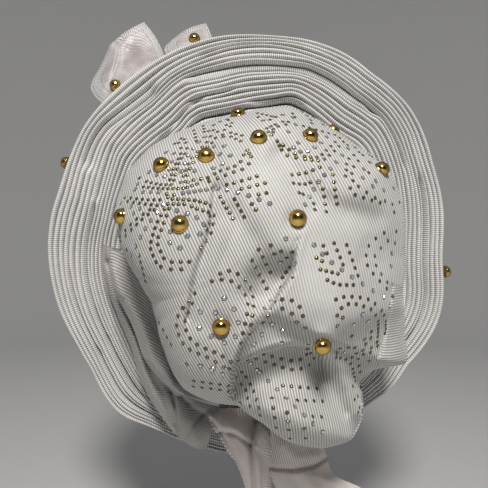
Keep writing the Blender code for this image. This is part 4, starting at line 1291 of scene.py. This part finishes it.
def make_stones(name, slot_name, rows, lone_px, cut, tree, material, setting):
    """Stones of one kind, each set on the crown where the camera sees its place."""
    places = [place for count, *line in rows for place in even_places(count, line)]
    outline = [(cut.radius * share, cut.radius * rise) for share, rise in cut.rings]
    bands = len(outline) - 1
    points = []
    faces = []
    for number, place in enumerate(places + lone_px):
        sight = sight_at(*place)
        hit, facing, _, _ = tree.ray_cast(EYE, sight)
        if hit is None:
            continue
        axis = facing if facing.dot(sight) < 0 else -facing
        first = len(points)
        points += ring_stack(hit, axis, outline, STONE_SIDES, STONE_TURN * number)
        faces += ring_faces(first, len(outline), STONE_SIDES)
        faces.append([first + bands * STONE_SIDES + corner for corner in range(STONE_SIDES)])
    piece = add_mesh(name, [list(point) for point in points], faces, material)
    # The second material is the dark ring of painted shadow round each stone's foot.
    piece.data.materials.append(setting)
    for number, face in enumerate(piece.data.polygons):
        in_shadow_ring = number % (bands * STONE_SIDES + 1) < SHADOW_RING_BANDS * STONE_SIDES
        face.material_index = 1 if in_shadow_ring else 0
    piece.data.shade_flat()
    finish_piece(piece, slot_name)


# Swag, ties and bow ends

def make_swag(material):
    """Folded swag: a shoulder from the crown, a rolled crest, a tuck, and a panel to the fan."""
    rows = []
    for row in SWAG_ROWS:
        angle = np.array([row.section * SECTION_STEP])
        across, up = (float(part[0]) for part in ring_direction(angle))
        seam, edge, edge_y = (float(part[0]) for part in crown_rim(angle))
        seat = seam + (edge - seam) * SWAG_SEAT_SHARE
        seat_y = CROWN_SEAM_Y + (edge_y - CROWN_SEAM_Y) * SWAG_SEAT_SHARE
        tuck = max(row.crest - SWAG_TUCK_STEP, seat + SWAG_TUCK_STEP)
        tuck_y = row.crest_y + SWAG_TUCK_FORWARD
        panel = tuck + (row.outer - tuck) * SWAG_PANEL_SHARE
        panel_y = (tuck_y + row.outer_y) / 2 - SWAG_PANEL_BACK
        outline = [(seat + SWAG_SEAT_GAP, seat_y), (edge + SWAG_EDGE_GAP, edge_y),
                   (row.crest, row.crest_y), (tuck + SWAG_ROLL, (row.crest_y + tuck_y) / 2),
                   (tuck, tuck_y), (panel, panel_y), (row.outer, row.outer_y)]
        rows.append([[r * across, y, CROWN_CENTRE_Z + r * up] for r, y in outline])
    grid = hermite_rows(rows, np.linspace(0.0, 1.0, SWAG_STEPS)).transpose(1, 0, 2)
    grid = hermite_rows(grid, np.linspace(0.0, 1.0, SWAG_COLUMNS)).transpose(1, 0, 2)
    out = lengths_along(grid, 1)
    share = np.linspace(0.0, 1.0, SWAG_COLUMNS)[None, :]
    free = np.clip((share - SWAG_HELD_SHARE) / SWAG_FREE_SHARE, 0.0, 1.0)
    push_back(grid, fold_relief(to_photo(grid), SWAG_FOLDS) * free)
    slope = np.radians(SWAG_INNER_SLOPE + (SWAG_OUTER_SLOPE - SWAG_INNER_SLOPE) * share)
    phase = np.sin(slope) * (grid[..., 0] + SWAG_RIB_START_X) + np.cos(slope) * grid[..., 2]
    uv = np.stack([phase / RIB_PITCH, out], axis=-1)
    piece = add_grid("side_swag", grid, uv, material)
    finish_piece(piece, "plain_cloth", "side_gather")


def make_strip(name, rows, folds, material, node, waves, wave_height, lean):
    """Strip of cloth through its stations, with lengthwise waves that fade towards its end."""
    share = np.linspace(0.0, 1.0, STRIP_COLUMNS)
    stations = []
    for row in rows:
        x = row.left_x + (row.right_x - row.left_x) * share
        z = row.left_z + (row.right_z - row.left_z) * share
        y = row.y - row.crown * np.sin(np.pi * share)
        stations.append(np.stack([x, y, z], axis=1))
    along = np.linspace(0.0, 1.0, STRIP_STEPS)
    grid = hermite_rows(stations, along)
    along = along[:, None]
    ripple = np.sin(TURN * waves * share[None, :] + STRIP_TWIST * along)
    grid[..., 1] += wave_height * ripple * (1 - STRIP_CALM_SHARE * along)
    push_back(grid, fold_relief(to_photo(grid), folds))
    down = lengths_along(grid, 0)
    over = lengths_along(grid, 1)
    turn = math.radians(lean)
    uv = np.stack([(over * math.cos(turn) + down * math.sin(turn)) / RIB_PITCH, down], axis=-1)
    piece = add_grid(name, grid, uv, material)
    inward = np.minimum(np.minimum(over / HEM_LEFT_WIDER, over[:, -1:] - over), down[-1:] - down)
    add_cloth_layer(piece.data, "hem", np.stack([inward, down + over], axis=-1).reshape(-1, 2))
    bow = name.startswith("bow")
    finish_piece(piece, "bow_cloth" if bow else "plain_cloth", node)


# Studio

def make_light(name, place, aim, size, power, colour):
    light = bpy.data.lights.new(name, "AREA")
    light.shape = "DISK"
    light.size = size
    light.energy = power
    light.color = colour
    holder = bpy.data.objects.new(name, light)
    holder.location = place
    holder.rotation_euler = (Vector(aim) - Vector(place)).to_track_quat("-Z", "Y").to_euler()
    bpy.context.scene.collection.objects.link(holder)


def make_studio():
    """Pale floor that curves up into a wall all round, open at the top, with one large light."""
    outline = [(radius, FLOOR_Z) for radius in FLOOR_RADII]
    for angle in range(5, 91, 5):
        turn = math.radians(angle)
        outline.append((FLOOR_RADII[-1] + COVE_RADIUS * math.sin(turn),
                        FLOOR_Z + COVE_RADIUS * (1 - math.cos(turn))))
    outline.append((FLOOR_RADII[-1] + COVE_RADIUS, WALL_TOP_Z))
    turns = np.linspace(0.0, TURN, STUDIO_SIDES + 1)[:-1]
    grid = np.array([[[r * math.cos(turn), r * math.sin(turn), z] for r, z in outline]
                     for turn in turns])
    faces = grid_quads(STUDIO_SIDES, len(outline), close_rows=True)
    add_mesh("floor", grid.reshape(-1, 3), faces, studio_paint())
    world = bpy.data.worlds.new("studio")
    world.use_nodes = True
    background = world.node_tree.nodes["Background"]
    background.inputs["Color"].default_value = rgb(*SKY_COLOUR)
    background.inputs["Strength"].default_value = SKY_STRENGTH
    bpy.context.scene.world = world
    make_light("key", **KEY_LIGHT)
    bpy.context.scene.view_settings.view_transform = "Standard"


make_camera()
make_studio()
band = band_cloth("band_cloth", rgb(0.56, 0.53, 0.53), rgb(0.42, 0.40, 0.40))
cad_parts["head_band"].data.materials[0] = band
make_domes(gold_metal("polished_gold", (0.80, 0.53, 0.15), 0.08))
fan_cloth = ribbed_cloth("fan_cloth", rgb(0.84, 0.83, 0.82), rgb(0.44, 0.43, 0.43))
crown_colours = rgb(0.68, 0.675, 0.66), rgb(0.31, 0.30, 0.29)
crown_cloth = ribbed_cloth("crown_cloth", *crown_colours, with_sides=True)
edge_cloth = ribbed_cloth("edge_cloth", *crown_colours)
# The swag's cloth is a darker copy of the one cloth, painted shade for the crown's shadow on it;
# the ties' cloth is a paler, pinker copy, painted light and reflected light on ties that lie in
# shade.
plain_cloth = ribbed_cloth("plain_cloth", rgb(0.56, 0.54, 0.53), rgb(0.27, 0.255, 0.25))
lit_tie_cloth = ribbed_cloth("lit_tie_cloth", rgb(0.84, 0.765, 0.75), rgb(0.47, 0.43, 0.42), 0.0002)
bow_cloth = satin_cloth("bow_cloth", rgb(0.45, 0.41, 0.413), rgb(0.31, 0.272, 0.282))
make_fan(fan_cloth)
tree = make_crown(crown_cloth, edge_cloth)
# Painted shade on the stones: a dark ring of painted shadow and dark reflection round each stone's
# foot, and a dark gold that paints the dark surroundings the gold stones mirror.
setting = painted_stone_shadow()
make_stones("gold_stones", "gold", GOLD_ROWS, GOLD_LONE_PX, GOLD_CUT, tree,
            gold_metal("stone_gold", (0.29, 0.235, 0.10), 0.2), setting)
make_stones("silver_stones", "crown_cloth", SILVER_ROWS, SILVER_LONE_PX, SILVER_CUT, tree,
            silver_glass(), setting)
make_swag(plain_cloth)
make_strip("nape_tie_left", TIE_LEFT_ROWS, TIE_FOLDS, lit_tie_cloth, "tie_left",
           3.0, 1.0, -30.0)
make_strip("nape_tie_right", TIE_RIGHT_ROWS, TIE_FOLDS, lit_tie_cloth, "tie_right",
           3.0, 1.2, -17.0)
make_strip("bow_end_left", TAB_LEFT_ROWS, TAB_FOLDS, bow_cloth, "front_tab_left",
           1.0, 0.6, 62.0)
make_strip("bow_end_right", TAB_RIGHT_ROWS, TAB_FOLDS, bow_cloth, "front_tab_right",
           1.0, 0.5, 62.0)
